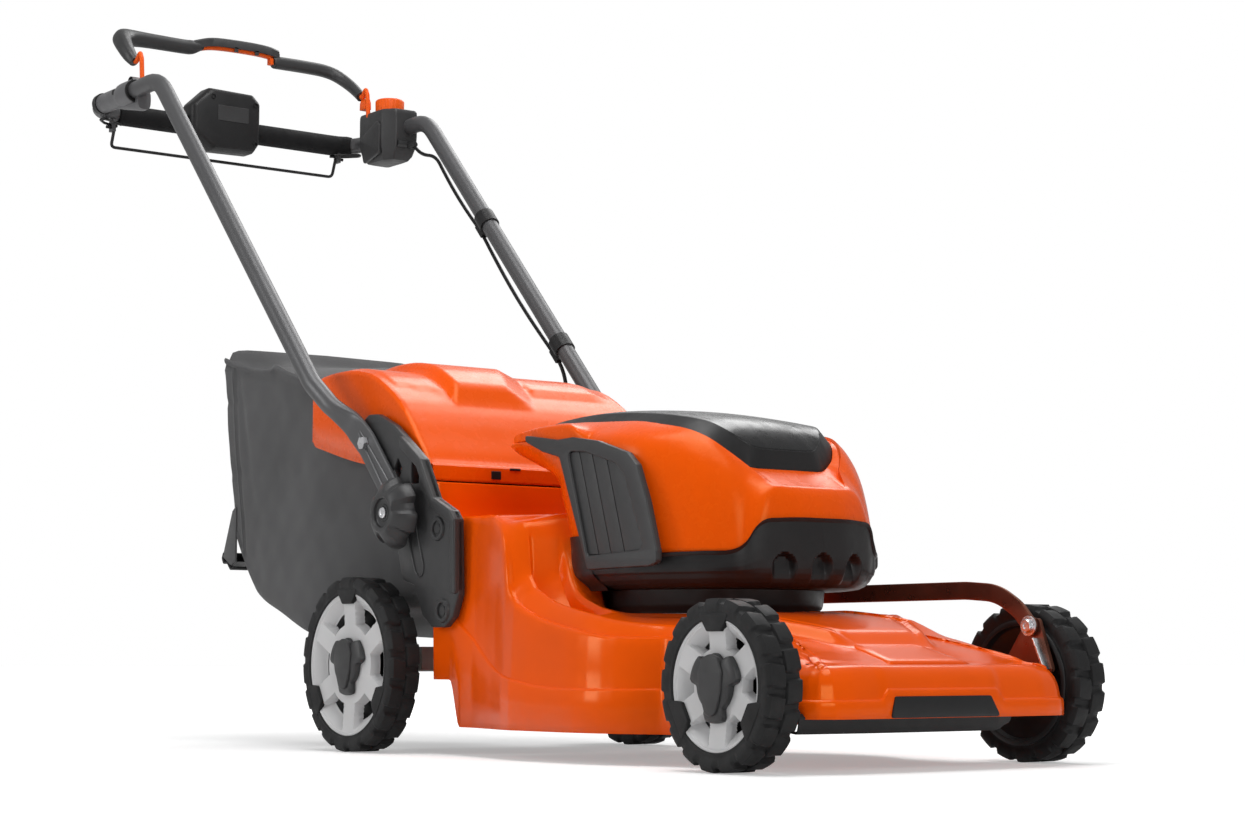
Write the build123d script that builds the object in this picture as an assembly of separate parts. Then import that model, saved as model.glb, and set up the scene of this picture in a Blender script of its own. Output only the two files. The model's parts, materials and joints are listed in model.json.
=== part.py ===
from build123d import *
import math
import os

# Battery walk-behind lawn mower: rear bag, folding handle, linked height adjustment.
# Millimetres. +Z up, the front of the mower looks along -Y, its left side is +X.
# Y is counted from the front axle while building and is centred when the pieces are written.

# Overall driving sizes
HALF_WIDTH = 262.0
WHEELBASE = 772.0
FRONT_WHEEL_R = 94.0
REAR_WHEEL_R = 115.5
FRONT_TYRE_W = 51.5
REAR_TYRE_W = 48.5
NOSE_Y = -105.0
HANDLE_ANGLE = 46.4
HANDLE_RUN = 820.0
HANDLE_TOP_RUN = 237.0

# Fits and gaps
RUN_FIT = 0.08
SEAT_GAP = 0.05
SOFT_GAP = 0.3
SIDE_GAP = 1.0
OVERCUT = 1.0

# Wheels
FRONT_RIM_R = 73.0
REAR_RIM_R = 95.0
FRONT_LUGS = 22
REAR_LUGS = 24
LUG_HEIGHT = 7.0
LUG_ROOT = 2.0
LUG_ROW_STEP = 0.35
LUG_SHARE = 0.62
LUG_SIDE_GAP = 3.0
RIM_WALL = 5.0
WEB_T = 9.0
WEB_INSET = 7.0
HUB_R = 21.0
CAP_R = 39.0
CAP_T = 9.0
REAR_TYRE_INSET = 3.5
STUB_R = 6.0
STUB_SHORT = 4.0
SPOKES = 6
WINDOW_HALF = 0.27
WINDOW_EDGE = 7.0
WINDOW_ROUND = 2.5
CAP_CORE = 0.66
CAP_LOBE = 0.36

# Height adjustment: equal cranks front and rear, joined by one rod
CRANK_Y = 38.0
CRANK_Z = 6.2
LEVER_Y = 7.0
LEVER_Z = 61.0
CRANK_T = 5.0
CRANK_GAP = 3.5
CRANK_W = 26.0
LEVER_W = 24.0
LEVER_FOOT = 26.0
LEVER_HEAD = 11.0
AXLE_R = 7.0
ROD_T = 4.0
ROD_H = 22.0
ROD_RISE = 44.0
ROD_BEND = 74.0
ROD_PIN_R = 5.0
ROD_OPEN_CLEARANCE = 0.6
ROD_HEAD_R = 8.0
ROD_HEAD_T = 3.0
CLAMP_HALF = 16.0
CLAMP_RISE = 17.0
CLAMP_SIDE = 12.0
CLAMP_DROP = 14.0
DRIVE_SHAFT_R = 10.0
GEARBOX_HALF = 50.0
GEARBOX_FRONT = 25.0
GEARBOX_REAR = 45.0
GEARBOX_LOW = 36.0
GEARBOX_HIGH = 30.0
GEARBOX_ROUND = 12.0
DRIVE_MOTOR_R = 26.0
DRIVE_MOTOR_LEN = 80.0
DRIVE_MOTOR_BACK = 24.0
LIFT_LEVER_LEN = 200.0
LIFT_LEVER_ANGLE = 50.0
LIFT_LEVER_W = 26.0
LIFT_LEVER_T = 6.0
LIFT_GRIP_R = 12.0
QUADRANT_T = 4.0
QUADRANT_R = 132.0
QUADRANT_BAND = 36.0
NOTCHES = 6
NOTCH_R = 4.0
NOTCH_START = 20.0
NOTCH_STEP = 10.0

# Deck
WALL = 2.0
SKIRT_Z = 36.0
NOSE_SKIRT_Z = 58.0
SKIRT_TOP_Z = 150.0
DECK_TOP_Z = 178.0
NOSE_LIP_Z = 112.0
NOSE_STEP = 28.0
VALANCE_SIDE = 14.0
VALANCE_DEPTH = 20.0
VALANCE_RISE = 22.0
VALANCE_WALL = 4.0
SHAFT_HOLE_GAP = 4.0
BLADE_Y = 313.0
PLATEAU_R = 150.0
BLADE_Z = 50.0
BLADE_T = 4.0
BLADE_W = 52.0
BLADE_TIP_GAP = 12.0
SHAFT_R = 10.0
MOTOR_R = 86.0
RAIL_X = 160.0
RAIL_HALF = 15.0
RIB_HALF = 10.0
HUB_FLANGE_R = 30.0
HUB_FLANGE_T = 12.0
HUB_NECK_R = 18.0
HUB_LEN = 40.0
HUB_SEAT = 22.0
BLADE_BOLT_R = 5.0
BLADE_WASHER_R = 20.0
BLADE_HEAD_R = 11.0
BLADE_HEAD_LOW = 12.0
WING_LEN = 80.0
WING_TIP = 12.0
WING_RISE = 22.0

# Motor housing
HOUSING_HALF = 172.0
HOUSING_FRONT_R = 168.0
HOUSING_FRONT_Y = 108.0
HOUSING_REAR_Y = 590.0
HOUSING_WALL = 4.0
CUP_REAR_Y = BLADE_Y + 125.0
HOUSING_REAR_R = 100.0
COLLAR_R = 133.0
COLLAR_WALL = 6.0
CUP_Z = 206.0
SPLIT_Z = 272.0
RIM_Z = 402.0
LID_HALF = 128.0
LID_TOP = 38.0
LID_PIN_R = 4.0
LID_PIN_LEN = 8.0
LID_BARREL_R = 9.5
VENT_T = 3.0
VENT_CORNER_R = 6.0
VENT_RIBS = 4
VENT_RIB_STEP = 36.0
VENT_RIB_HALF = 3.0
VENT_RIB_T = 4.0
BAY_HALF = 96.0
TRAY_GAP = 2.0
TRAY_WALL = 4.0
TRAY_FLANGE = 6.0
PACK_GAP = 6.0
PACK_SIDE = 10.0
PACK_END = 14.0
PACK_ROUND = 8.0
PACK_TOP = 34.0
PACK_GRIP_TOP = 22.0
PACK_GRIP_SIDE = 18.0
PACK_GRIP_END = 60.0
MOTOR_TOP_GAP = 12.0
MOTOR_ROUND = 8.0
SHAFT_TOP_GAP = 30.0
CONTROLLER_HALF = 60.0
CONTROLLER_LEN = 54.0
CONTROLLER_T = 44.0
CONTROLLER_GAP = 8.0
FINS = 6
FIN_STEP = 20.0
FIN_HALF = 2.0
FIN_RISE = 8.0
FIN_END = 4.0
EAR_T = 10.0
EAR_HALF = 9.0
EAR_RISE = 8.0
BAY_FRONT_Y = HOUSING_FRONT_Y + 66.0
BAY_REAR_Y = HOUSING_REAR_Y - 172.0
LID_FRONT_Y = HOUSING_FRONT_Y + 46.0
LID_HINGE = (HOUSING_REAR_Y - 18.0, RIM_Z + 10.0)

# Rear end
BRACKET_T = 12.0
PIVOT_Y = 9.0
PIVOT_Z = 412.0
KNOB_Y = -82.0
KNOB_Z = 313.0
FOOT_T = 6.0
FOOT_W = 40.0
KNOB_R = 43.0
KNOB_T = 30.0
CLAMP_BOLT_R = 5.0
BOLT_HEAD_R = 9.0
BOLT_HEAD_T = 4.0
NUT_R = 9.0
NUT_GAP = 0.5
NUT_T = 6.5
KNOB_LOBES = 6
KNOB_LOBE_R = 13.0
KNOB_CORE_GAP = 5.0
KNOB_SHOULDER = 4.0
SIDE_BOLT_R = 4.0
SIDE_HEAD_R = 7.0
SIDE_SINK = 6.0
SIDE_SINK_R = 9.0
SIDE_SOCKET_R = 3.0
SIDE_BOSS_R = 11.0
BRACKET_ROUND = 5.0
GLAND_HALF = 9.0
GLAND_LEN = 26.0
FLAP_HINGE_Y = -111.0
FLAP_HINGE_Z = 367.0
FLAP_ROD_R = 4.0
FLAP_T = 3.0
FLAP_ROD_SEAT = 5.5
FLAP_BARREL_R = 8.0
FLAP_GAP_IN = 60.0
FLAP_GAP_OUT = 120.0
HUMP_HALF = 92.0
BAG_WALL = 2.5
MOUTH_T = 12.0
MOUTH_BORDER = 9.0
MOUTH_LOW_Z = 188.0
MOUTH_HIGH_Z = 332.0
BAG_LAP = 5.0
BAG_ROUND = 30.0
FLAP_LINE = ((-2, 8), (14, 29), (76, 100), (153, 146), (220, 155), (290, 152))

# Handle
TUBE_R = 13.5
TUBE_WALL = 1.8
TUBE_BEND_R = 70.0
ELBOW_R = 40.0
FOOT_STEP = 7.0
FOOT_NARROW = 6.0
NOTCH_CLEARANCE = 4.0
GRIP_R = 17.5
SLEEVE_R = 18.5
SLEEVE_OUT = 14.9
SLEEVE_LOW = 17.5
SLEEVE_FRONT = 40.0
SLEEVE_REAR = 46.0
SLEEVE_ROUND = 12.0
HOLDER_HALF = 12.0
BOX_LOW = 54.0
BOX_HIGH = 40.0
BOX_FRONT = 62.0
BOX_REAR = 32.0
BOX_ROUND = 14.0
RUN_RISE = 4.0
BAIL_WIRE_R = 4.0
BAIL_GRIP_R = 10.0
LOW_WIRE_R = 2.5
LOW_DROP = 29.0
LOW_ELBOW = 8.0
LOW_END = 6.5
LOW_CLIP_HALF = 7.0
LOW_CLIP_T = 6.0
CABLE_R = 3.0
DIAL_R = 24.0
DIAL_T = 16.0
DIAL_STEM_R = 6.0
DIAL_STEM_LEN = 20.0
DIAL_EDGE = 2.0
BUTTON_R = 9.0
BUTTON_TRAVEL = 2.0
ARCH = 18.0
TRIGGER_HALF = 3.2
TRIGGER_SLOT = 0.3
TRIGGER_LEN_GAP = 0.5
TRIGGER_DEPTH = 16.0
TRIGGER_X0 = -42.0
TRIGGER_X1 = 38.0
TRIGGER_TRAVEL = 4.0
CONSOLE_X0 = -80.0
CONSOLE_X1 = 50.0
CONSOLE_FRONT = 24.0
CONSOLE_LOW = 38.0
CONSOLE_HIGH = 62.0
CONSOLE_ROUND = 16.0
GRIP_GAP = 0.5
CABLE_STANDOFF = 8.5
CABLE_TOP_ALONG = 690.0
CLIP_ALONG = (185.0, 490.0)
CLIP_LEN = 26.0
CLIP_WALL = 3.0
CLIP_TAIL_W = 10.0
CLIPPED_BOW = 7.0
TOP_BOW = 5.0
CABLE_STRAIGHT = 26.0
CABLE_CORNER = 0.45

# Places that follow from the driving sizes
REAR_Y = WHEELBASE
WHEEL_IN = HALF_WIDTH - FRONT_TYRE_W
CRANK_OUT = WHEEL_IN - CRANK_GAP
CRANK_IN = CRANK_OUT - CRANK_T
ROD_OUT = CRANK_IN - SIDE_GAP
ROD_IN = ROD_OUT - ROD_T
NOSE_HALF = ROD_IN - 5.0
SKIRT_HALF = HALF_WIDTH - 26.0
BLADE_R = SKIRT_HALF - WALL - BLADE_TIP_GAP
BRACKET_IN = HALF_WIDTH - 57.0
BRACKET_OUT = BRACKET_IN + BRACKET_T
TUNNEL_LEFT = BRACKET_IN - 25.0
TUNNEL_REAR_Y = REAR_Y - 122.0
SKIRT_REAR_Y = REAR_Y - 212.0
FLAP_HALF = BRACKET_IN - 5.0
BAG_HALF = BRACKET_IN - 27.0
FOOT_IN = BRACKET_OUT + 2.0
FOOT_OUT = FOOT_IN + FOOT_T
TUBE_X = HALF_WIDTH - 15.0
CABLE_DROP = TUBE_R + CABLE_STANDOFF
FRONT_PIVOT = (-CRANK_Y, FRONT_WHEEL_R + CRANK_Z)
REAR_PIVOT = (REAR_Y - CRANK_Y, REAR_WHEEL_R + CRANK_Z)
FRONT_PIN = (FRONT_PIVOT[0] + LEVER_Y, FRONT_PIVOT[1] + LEVER_Z)
REAR_PIN = (REAR_PIVOT[0] + LEVER_Y, REAR_PIVOT[1] + LEVER_Z)
HANDLE_PIVOT = (REAR_Y + PIVOT_Y, PIVOT_Z)
KNOB_AXIS = (REAR_Y + KNOB_Y, KNOB_Z)
HINGE = (REAR_Y + FLAP_HINGE_Y, FLAP_HINGE_Z)
COS_H = math.cos(math.radians(HANDLE_ANGLE))
SIN_H = math.sin(math.radians(HANDLE_ANGLE))
TUBE_LOW = (HANDLE_PIVOT[0] + 74.0, HANDLE_PIVOT[1] + 54.0)
TUBE_BEND = (TUBE_LOW[0] + HANDLE_RUN * COS_H - 50.0, TUBE_LOW[1] + HANDLE_RUN * SIN_H - 38.0)
TUBE_ANGLE = math.degrees(math.atan2(TUBE_BEND[1] - TUBE_LOW[1], TUBE_BEND[0] - TUBE_LOW[0]))
RUN_COS = math.cos(math.radians(TUBE_ANGLE))
RUN_SIN = math.sin(math.radians(TUBE_ANGLE))
CROSS_Y = TUBE_BEND[0] + HANDLE_TOP_RUN
CROSS_Z = TUBE_BEND[1] - 8.0
JOINT_Y = CROSS_Y - 68.0
JOINT_Z = CROSS_Z + 8.0 * 68.0 / HANDLE_TOP_RUN
BAIL_PIVOT = (CROSS_Y - 118.0, CROSS_Z + 26.0)
BAIL_X = HALF_WIDTH - 52.0
BAIL_BAR = (CROSS_Y - 23.0, CROSS_Z + 128.0)
BAIL_LOW = (BAIL_PIVOT[0] + 22.0, BAIL_PIVOT[1] + 52.0)
LOW_CLIP_X = HALF_WIDTH - 46.0
LOW_PIVOT = (CROSS_Y - 4.0, CROSS_Z - 24.0)
GRIP_END = LOW_CLIP_X - 12.0
BOX_IN = BAIL_X + 5.0
DIAL_X = HALF_WIDTH - 27.0
DIAL_Y = BAIL_PIVOT[0] - 22.0
BUTTON = (-40.0, CROSS_Z + 30.0)
RIB_Z = FRONT_PIVOT[1] + CLAMP_RISE
RAIL_Z = REAR_PIVOT[1] + CLAMP_RISE
RIGHT_BOLTS = ((-1, REAR_Y - 160.0, 290.0), (-1, REAR_Y - 172.0, 184.0))
LEFT_BOLTS = ((1, REAR_Y - 160.0, 290.0), (1, REAR_Y - 172.0, 258.0))
CABLE_PORT = (BRACKET_OUT + 13.0, REAR_Y - 66.0, 252.0)
REAR_EDGE_Y = CROSS_Y + GRIP_R
Y_MID = (NOSE_Y + REAR_EDGE_Y) / 2.0


def block(x0, x1, y0, y1, z0, z1):
    centre = Pos((x0 + x1) / 2, (y0 + y1) / 2, (z0 + z1) / 2)
    return centre * Box(abs(x1 - x0), abs(y1 - y0), abs(z1 - z0))


def rod_x(radius, x0, x1, yz):
    return Pos((x0 + x1) / 2, yz[0], yz[1]) * Rot(0, 90, 0) * Cylinder(radius, abs(x1 - x0))


def rod_z(radius, z0, z1, x, y):
    return Pos(x, y, (z0 + z1) / 2) * Cylinder(radius, abs(z1 - z0))


def side_face(points, round_r=0.0):
    face = make_face(Polyline(*[(y, z) for y, z in points], close=True))
    if round_r:
        face = fillet(face.vertices(), round_r)
    return face


def slab_x(face, x0, x1):
    return extrude(Plane.YZ.offset(min(x0, x1)) * face, abs(x1 - x0))


def side_plate(points, x0, x1, round_r=0.0):
    return slab_x(side_face(points, round_r), x0, x1)


def bar_between(a, b, width, x0, x1):
    """Flat bar with round ends from point a to point b of the side view."""
    length = math.dist(a, b)
    angle = math.degrees(math.atan2(b[1] - a[1], b[0] - a[0]))
    face = Pos((a[0] + b[0]) / 2, (a[1] + b[1]) / 2) * Rot(0, 0, angle) * SlotCenterToCenter(length, width)
    return slab_x(face, x0, x1)


def pipe(points, radii, radius, wall=0.0):
    """Tube along straight runs joined by tangent arcs."""
    path = FilletPolyline(*points, radius=radii)
    section = Circle(radius)
    if wall:
        section = section - Circle(radius - wall)
    return sweep(Plane(path @ 0, z_dir=path % 0) * section, path=path)


def mirrored(part):
    return mirror(part, Plane.YZ)


# Wheels


def tyre(radius, width, rim_r, lugs):
    """Tyre on the X axis with its outer side at -X. Two staggered lug rows, flat outer faces."""
    carcass = rod_x(radius - LUG_HEIGHT, -width / 2, width / 2, (0, 0))
    carcass -= rod_x(rim_r, -width, width, (0, 0))
    pitch = 360.0 / lugs
    length = 2 * math.pi * radius / lugs * LUG_SHARE
    row = width / 2 - LUG_SIDE_GAP
    blocks = []
    for i in range(lugs):
        for side, shift, drop in ((-1, 0.0, 0.0), (1, 0.5, LUG_ROW_STEP)):
            height = LUG_HEIGHT + LUG_ROOT
            place = Rot(-90.0 + (i + shift) * pitch, 0, 0)
            place *= Pos(side * width / 4, radius - drop - height / 2, 0)
            blocks.append(place * Box(row, height, length))
    return carcass + blocks


def rim(width, rim_r):
    """Spoked rim on the X axis, web near the outer side at -X."""
    outer = rim_r - SEAT_GAP
    face_x = -width / 2 + WEB_INSET
    barrel = rod_x(outer, -width / 2, width / 2, (0, 0)) - rod_x(outer - RIM_WALL, -width, width, (0, 0))
    web = rod_x(outer, face_x, face_x + WEB_T, (0, 0))
    hub = rod_x(HUB_R, face_x, width / 2, (0, 0))
    inner_r = CAP_R + 2.0
    outer_r = outer - RIM_WALL - WINDOW_EDGE
    cuts = []
    for i in range(SPOKES):
        half = outer_r * WINDOW_HALF
        window = side_face([(inner_r, 0.0), (outer_r, -half), (outer_r, half)], WINDOW_ROUND)
        cut = slab_x(window, face_x - OVERCUT, face_x + WEB_T + OVERCUT)
        cuts.append(Rot((i + 1) * 360.0 / SPOKES, 0, 0) * cut)
    bore = rod_x(STUB_R + RUN_FIT, face_x + 2.0, width, (0, 0))
    return barrel + web + hub - cuts - bore


def hub_cap(width):
    """Three-lobed cap seated on the web."""
    seat = -width / 2 + WEB_INSET
    lobe_r = CAP_R * CAP_LOBE
    cap = rod_x(CAP_R * CAP_CORE, seat - CAP_T, seat, (0, 0))
    for i in range(3):
        angle = math.radians(30.0 + 120.0 * i)
        reach = CAP_R - lobe_r
        cap += rod_x(lobe_r, seat - CAP_T, seat, (reach * math.cos(angle), reach * math.sin(angle)))
    return cap


def place_wheel(part, left, width, outer_x, y, z):
    centre = outer_x - width / 2
    if left:
        return Pos(centre, y, z) * mirrored(part)
    return Pos(-centre, y, z) * part


# Running gear


def crank_set(pivot, wheel, stub_end):
    """Cross bar with a crank plate and a wheel stub at each end."""
    part = rod_x(AXLE_R, -CRANK_IN - OVERCUT, CRANK_IN + OVERCUT, pivot)
    for s in (-1, 1):
        part += bar_between(pivot, wheel, CRANK_W, s * CRANK_IN, s * CRANK_OUT)
        part += rod_x(STUB_R, s * CRANK_IN, s * stub_end, wheel)
    return part


def front_axle():
    stub_end = HALF_WIDTH - WEB_INSET - STUB_SHORT
    part = crank_set(FRONT_PIVOT, (0, FRONT_WHEEL_R), stub_end)
    y, z = FRONT_PIVOT
    lever = side_plate(
        [(y - LEVER_FOOT, z + 6), (y + LEVER_FOOT, z + 6), (FRONT_PIN[0] + LEVER_HEAD, FRONT_PIN[1] + 9),
         (FRONT_PIN[0] - LEVER_HEAD, FRONT_PIN[1] + 9)], CRANK_IN, CRANK_OUT, 5.0)
    hole = rod_x(ROD_PIN_R + RUN_FIT, CRANK_IN - OVERCUT, CRANK_OUT + OVERCUT, FRONT_PIN)
    return part + lever - hole


def rear_axle():
    stub_end = HALF_WIDTH - REAR_TYRE_INSET - WEB_INSET - STUB_SHORT
    wheel = (REAR_Y, REAR_WHEEL_R)
    part = crank_set(REAR_PIVOT, wheel, stub_end)
    part += rod_x(DRIVE_SHAFT_R, -CRANK_IN - OVERCUT, CRANK_IN + OVERCUT, wheel)
    part += bar_between(REAR_PIVOT, REAR_PIN, LEVER_W, CRANK_IN, CRANK_OUT)
    part += rod_x(ROD_PIN_R, ROD_IN - 1.5, CRANK_IN + OVERCUT, REAR_PIN)
    return part


def drive_gearbox():
    y, z = REAR_Y, REAR_WHEEL_R
    half = GEARBOX_HALF
    body = block(-half, half, y - GEARBOX_FRONT, y + GEARBOX_REAR, z - GEARBOX_LOW, z + GEARBOX_HIGH)
    body = fillet(body.edges().filter_by(Axis.X), GEARBOX_ROUND)
    motor = rod_x(DRIVE_MOTOR_R, half, half + DRIVE_MOTOR_LEN, (y + DRIVE_MOTOR_BACK, z))
    bore = rod_x(DRIVE_SHAFT_R + SEAT_GAP, -HALF_WIDTH, HALF_WIDTH, (y, z))
    return body + motor - bore


def height_lever():
    """Flat lever on the rear pivot bar, with a grip turned outwards at its end."""
    x0 = TUNNEL_LEFT + 7.0
    x1 = x0 + LIFT_LEVER_T
    angle = math.radians(LIFT_LEVER_ANGLE)
    y, z = REAR_PIVOT
    tip = (y + LIFT_LEVER_LEN * math.cos(angle), z + LIFT_LEVER_LEN * math.sin(angle))
    arm = bar_between(REAR_PIVOT, tip, LIFT_LEVER_W, x0, x1)
    grip = rod_x(LIFT_GRIP_R, x0, FOOT_IN - 3.0, tip)
    hole = rod_x(AXLE_R + SEAT_GAP, x0 - OVERCUT, x1 + OVERCUT, REAR_PIVOT)
    return arm + grip - hole


def height_quadrant():
    """Notched plate on the left rear rail."""
    x1 = TUNNEL_LEFT + 6.0
    x0 = x1 - QUADRANT_T
    y, z = REAR_PIVOT
    low = x0 - OVERCUT
    high = x1 + OVERCUT
    ring = rod_x(QUADRANT_R, x0, x1, REAR_PIVOT) - rod_x(QUADRANT_R - QUADRANT_BAND, low, high, REAR_PIVOT)
    outline = [(y, z), (y + 160, z + 30), (y + 160, z + 190), (y + 20, z + 190)]
    sector = side_plate(outline, low, high)
    part = ring & sector
    for i in range(NOTCHES):
        angle = math.radians(NOTCH_START + NOTCH_STEP * i)
        place = (y + QUADRANT_R * math.cos(angle), z + QUADRANT_R * math.sin(angle))
        part -= rod_x(NOTCH_R, low, high, place)
    stay = side_plate(
        [(y - 20, z + CLAMP_RISE), (y + 14, z + CLAMP_RISE), (y + 74, z + 98), (y + 40, z + 120)], x0, x1)
    foot = block(RAIL_X + CLAMP_SIDE, x1, y - 20, y + 14, z + CLAMP_RISE - 5.0, z + CLAMP_RISE)
    return part + stay + foot


def connecting_rod():
    """Bent flat rod: a level middle run, both ends turned down to the crank pins."""
    run_z = FRONT_PIN[1] + ROD_RISE
    front = (FRONT_PIN[0] + ROD_BEND, run_z)
    rear = (REAR_PIN[0] - ROD_BEND, run_z)
    part = bar_between(FRONT_PIN, front, ROD_H, ROD_IN, ROD_OUT)
    part += bar_between(front, rear, ROD_H, ROD_IN, ROD_OUT)
    part += bar_between(rear, REAR_PIN, ROD_H, ROD_IN, ROD_OUT)
    part -= rod_x(ROD_PIN_R + ROD_OPEN_CLEARANCE, ROD_IN - OVERCUT, ROD_OUT + OVERCUT, REAR_PIN)
    part += rod_x(ROD_PIN_R, ROD_IN - 0.5, CRANK_OUT + 1.5, FRONT_PIN)
    part += rod_x(ROD_HEAD_R, ROD_IN - ROD_HEAD_T, ROD_IN, FRONT_PIN)
    return part


# Deck

def nose_profile(inset):
    """Side outline of the front hood, drawn in by a wall thickness."""
    return [
        (NOSE_Y + inset, NOSE_SKIRT_Z - (OVERCUT if inset else 0.0)),
        (NOSE_Y + inset, NOSE_LIP_Z - inset),
        (NOSE_Y + NOSE_STEP + inset * 0.5, 140.0 - inset),
        (NOSE_Y + 79, 160.0 - inset),
        (BLADE_Y - 209, 177.0 - inset),
        (BLADE_Y, DECK_TOP_Z - inset),
        (BLADE_Y, NOSE_SKIRT_Z - (OVERCUT if inset else 0.0)),
    ]


def tunnel_profile(inset):
    """Side outline of the rear tunnel, rising from the blade chamber to the flap."""
    rear = TUNNEL_REAR_Y + (OVERCUT if inset else 0.0)
    return [
        (BLADE_Y + 70 + inset, SKIRT_TOP_Z - 12 + inset),
        (BLADE_Y + COLLAR_R + 8 + inset, DECK_TOP_Z - 3),
        (BLADE_Y + COLLAR_R + 34 + inset, DECK_TOP_Z + 34),
        (REAR_Y - 262 + inset, 262.0 - inset * 0.5),
        (REAR_Y - 235, 294.0 - inset),
        (REAR_Y - 195, 306.0 - inset),
        (REAR_Y - 150, 318.0 - inset),
        (REAR_Y - 139 + inset, 346.0 - inset),
        (rear, 350.0 - inset),
        (rear, SKIRT_TOP_Z + inset),
        (SKIRT_REAR_Y - inset, SKIRT_TOP_Z + inset),
        (SKIRT_REAR_Y - inset, SKIRT_TOP_Z - 12 + inset),
    ]


def skirt_plan(inset):
    rear = SKIRT_REAR_Y - inset
    plan = Pos(0, BLADE_Y) * Circle(SKIRT_HALF - inset)
    plan += Pos(0, (BLADE_Y + rear) / 2) * Rectangle(2 * (SKIRT_HALF - inset), rear - BLADE_Y)
    front = NOSE_Y + inset
    plan += Pos(0, (front + BLADE_Y) / 2) * Rectangle(2 * (NOSE_HALF - inset), BLADE_Y - front)
    return plan


def deck_shell():
    top = SKIRT_TOP_Z
    outer = extrude(Pos(0, 0, SKIRT_Z) * skirt_plan(0.0), top - SKIRT_Z)
    outer -= block(-HALF_WIDTH, HALF_WIDTH, NOSE_Y - 10, -NOSE_Y + 3, SKIRT_Z - OVERCUT, NOSE_SKIRT_Z)
    outer -= block(-HALF_WIDTH, HALF_WIDTH, NOSE_Y - 10, NOSE_Y + NOSE_STEP, NOSE_LIP_Z, top + OVERCUT)
    outer += side_plate(nose_profile(0.0), -NOSE_HALF, NOSE_HALF)
    outer += rod_z(PLATEAU_R, top - 5, DECK_TOP_Z, 0, BLADE_Y)
    outer += side_plate(tunnel_profile(0.0), -BRACKET_IN, TUNNEL_LEFT)
    inner = extrude(Pos(0, 0, SKIRT_Z - OVERCUT) * skirt_plan(WALL), top - SKIRT_Z + OVERCUT - WALL)
    lip_y = NOSE_Y + NOSE_STEP + WALL
    inner -= block(-HALF_WIDTH, HALF_WIDTH, NOSE_Y - 10, lip_y, NOSE_LIP_Z - WALL, top + OVERCUT)
    inner += side_plate(nose_profile(WALL), -NOSE_HALF + WALL, NOSE_HALF - WALL)
    inner += rod_z(PLATEAU_R - WALL, top - 20, DECK_TOP_Z - WALL, 0, BLADE_Y)
    inner += side_plate(tunnel_profile(WALL), -BRACKET_IN + WALL, TUNNEL_LEFT - WALL)
    shell = outer - inner
    for s in (-1, 1):
        rib = block(s * RAIL_X - RIB_HALF, s * RAIL_X + RIB_HALF, FRONT_PIVOT[0] - CLAMP_HALF,
                    FRONT_PIVOT[0] + CLAMP_HALF, RIB_Z, DECK_TOP_Z)
        shell += rib & outer
        shell += block(s * RAIL_X - RAIL_HALF, s * RAIL_X + RAIL_HALF, REAR_Y - 220,
                       REAR_PIVOT[0] + CLAMP_HALF, RAIL_Z, SKIRT_TOP_Z)
        shell -= rod_x(AXLE_R + 2.0, s * (NOSE_HALF - WALL - OVERCUT), s * (NOSE_HALF + OVERCUT), FRONT_PIVOT)
    for _, y, z in LEFT_BOLTS:
        boss = rod_x(SIDE_BOSS_R, TUNNEL_LEFT - OVERCUT, BRACKET_IN, (y, z))
        shell += boss - rod_x(SIDE_BOLT_R, TUNNEL_LEFT, BRACKET_IN, (y, z))
    shell -= rod_z(SHAFT_R + SHAFT_HOLE_GAP, top, DECK_TOP_Z + OVERCUT, 0, BLADE_Y)
    return shell


def front_valance():
    """Black strip below the front edge, with the plate at its middle."""
    half = NOSE_HALF - VALANCE_SIDE
    front = NOSE_Y + WALL
    strip = block(-half, half, front, NOSE_Y + VALANCE_DEPTH, SKIRT_Z + 3, NOSE_SKIRT_Z + VALANCE_RISE)
    back = front + VALANCE_WALL
    return strip - block(-NOSE_HALF, NOSE_HALF, back, NOSE_Y + 30, NOSE_SKIRT_Z - 12, NOSE_SKIRT_Z + 30)


def axle_clamps(pivot):
    """Pair of bearing blocks that carry a pivot bar under the deck."""
    parts = []
    for s in (-1, 1):
        x0 = s * RAIL_X - CLAMP_SIDE
        x1 = s * RAIL_X + CLAMP_SIDE
        body = block(x0, x1, pivot[0] - CLAMP_HALF, pivot[0] + CLAMP_HALF,
                     pivot[1] - CLAMP_DROP, pivot[1] + CLAMP_RISE)
        parts.append(body - rod_x(AXLE_R + RUN_FIT, x0 - OVERCUT, x1 + OVERCUT, pivot))
    return Compound(children=parts)


# Motor, blade and housing


def housing_plan(inset, rear):
    """Plan of the housing: round front, straight sides."""
    half = HOUSING_HALF - inset
    front = HOUSING_FRONT_Y + inset
    radius = HOUSING_FRONT_R - inset
    length = rear - front
    face = Pos(0, front + length / 2) * Rectangle(2 * half, length)
    corners = face.vertices().sort_by(Axis.Y)
    face = fillet(corners[:2], radius)
    return fillet(face.vertices().sort_by(Axis.Y)[-2:], HOUSING_REAR_R)


def housing_prism(inset):
    return extrude(Pos(0, 0, CUP_Z - 10) * housing_plan(inset, HOUSING_REAR_Y - inset), RIM_Z + 80 - CUP_Z)


def cup_profile(inset):
    front = HOUSING_FRONT_Y
    rear = CUP_REAR_Y
    top = SPLIT_Z + (OVERCUT if inset else 0.0)
    return [
        (front + 16 + inset, CUP_Z + inset),
        (rear - 26 - inset, CUP_Z + inset),
        (rear - inset, top),
        (front + inset, top),
        (front + inset, SPLIT_Z - 20.0),
    ]


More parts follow.
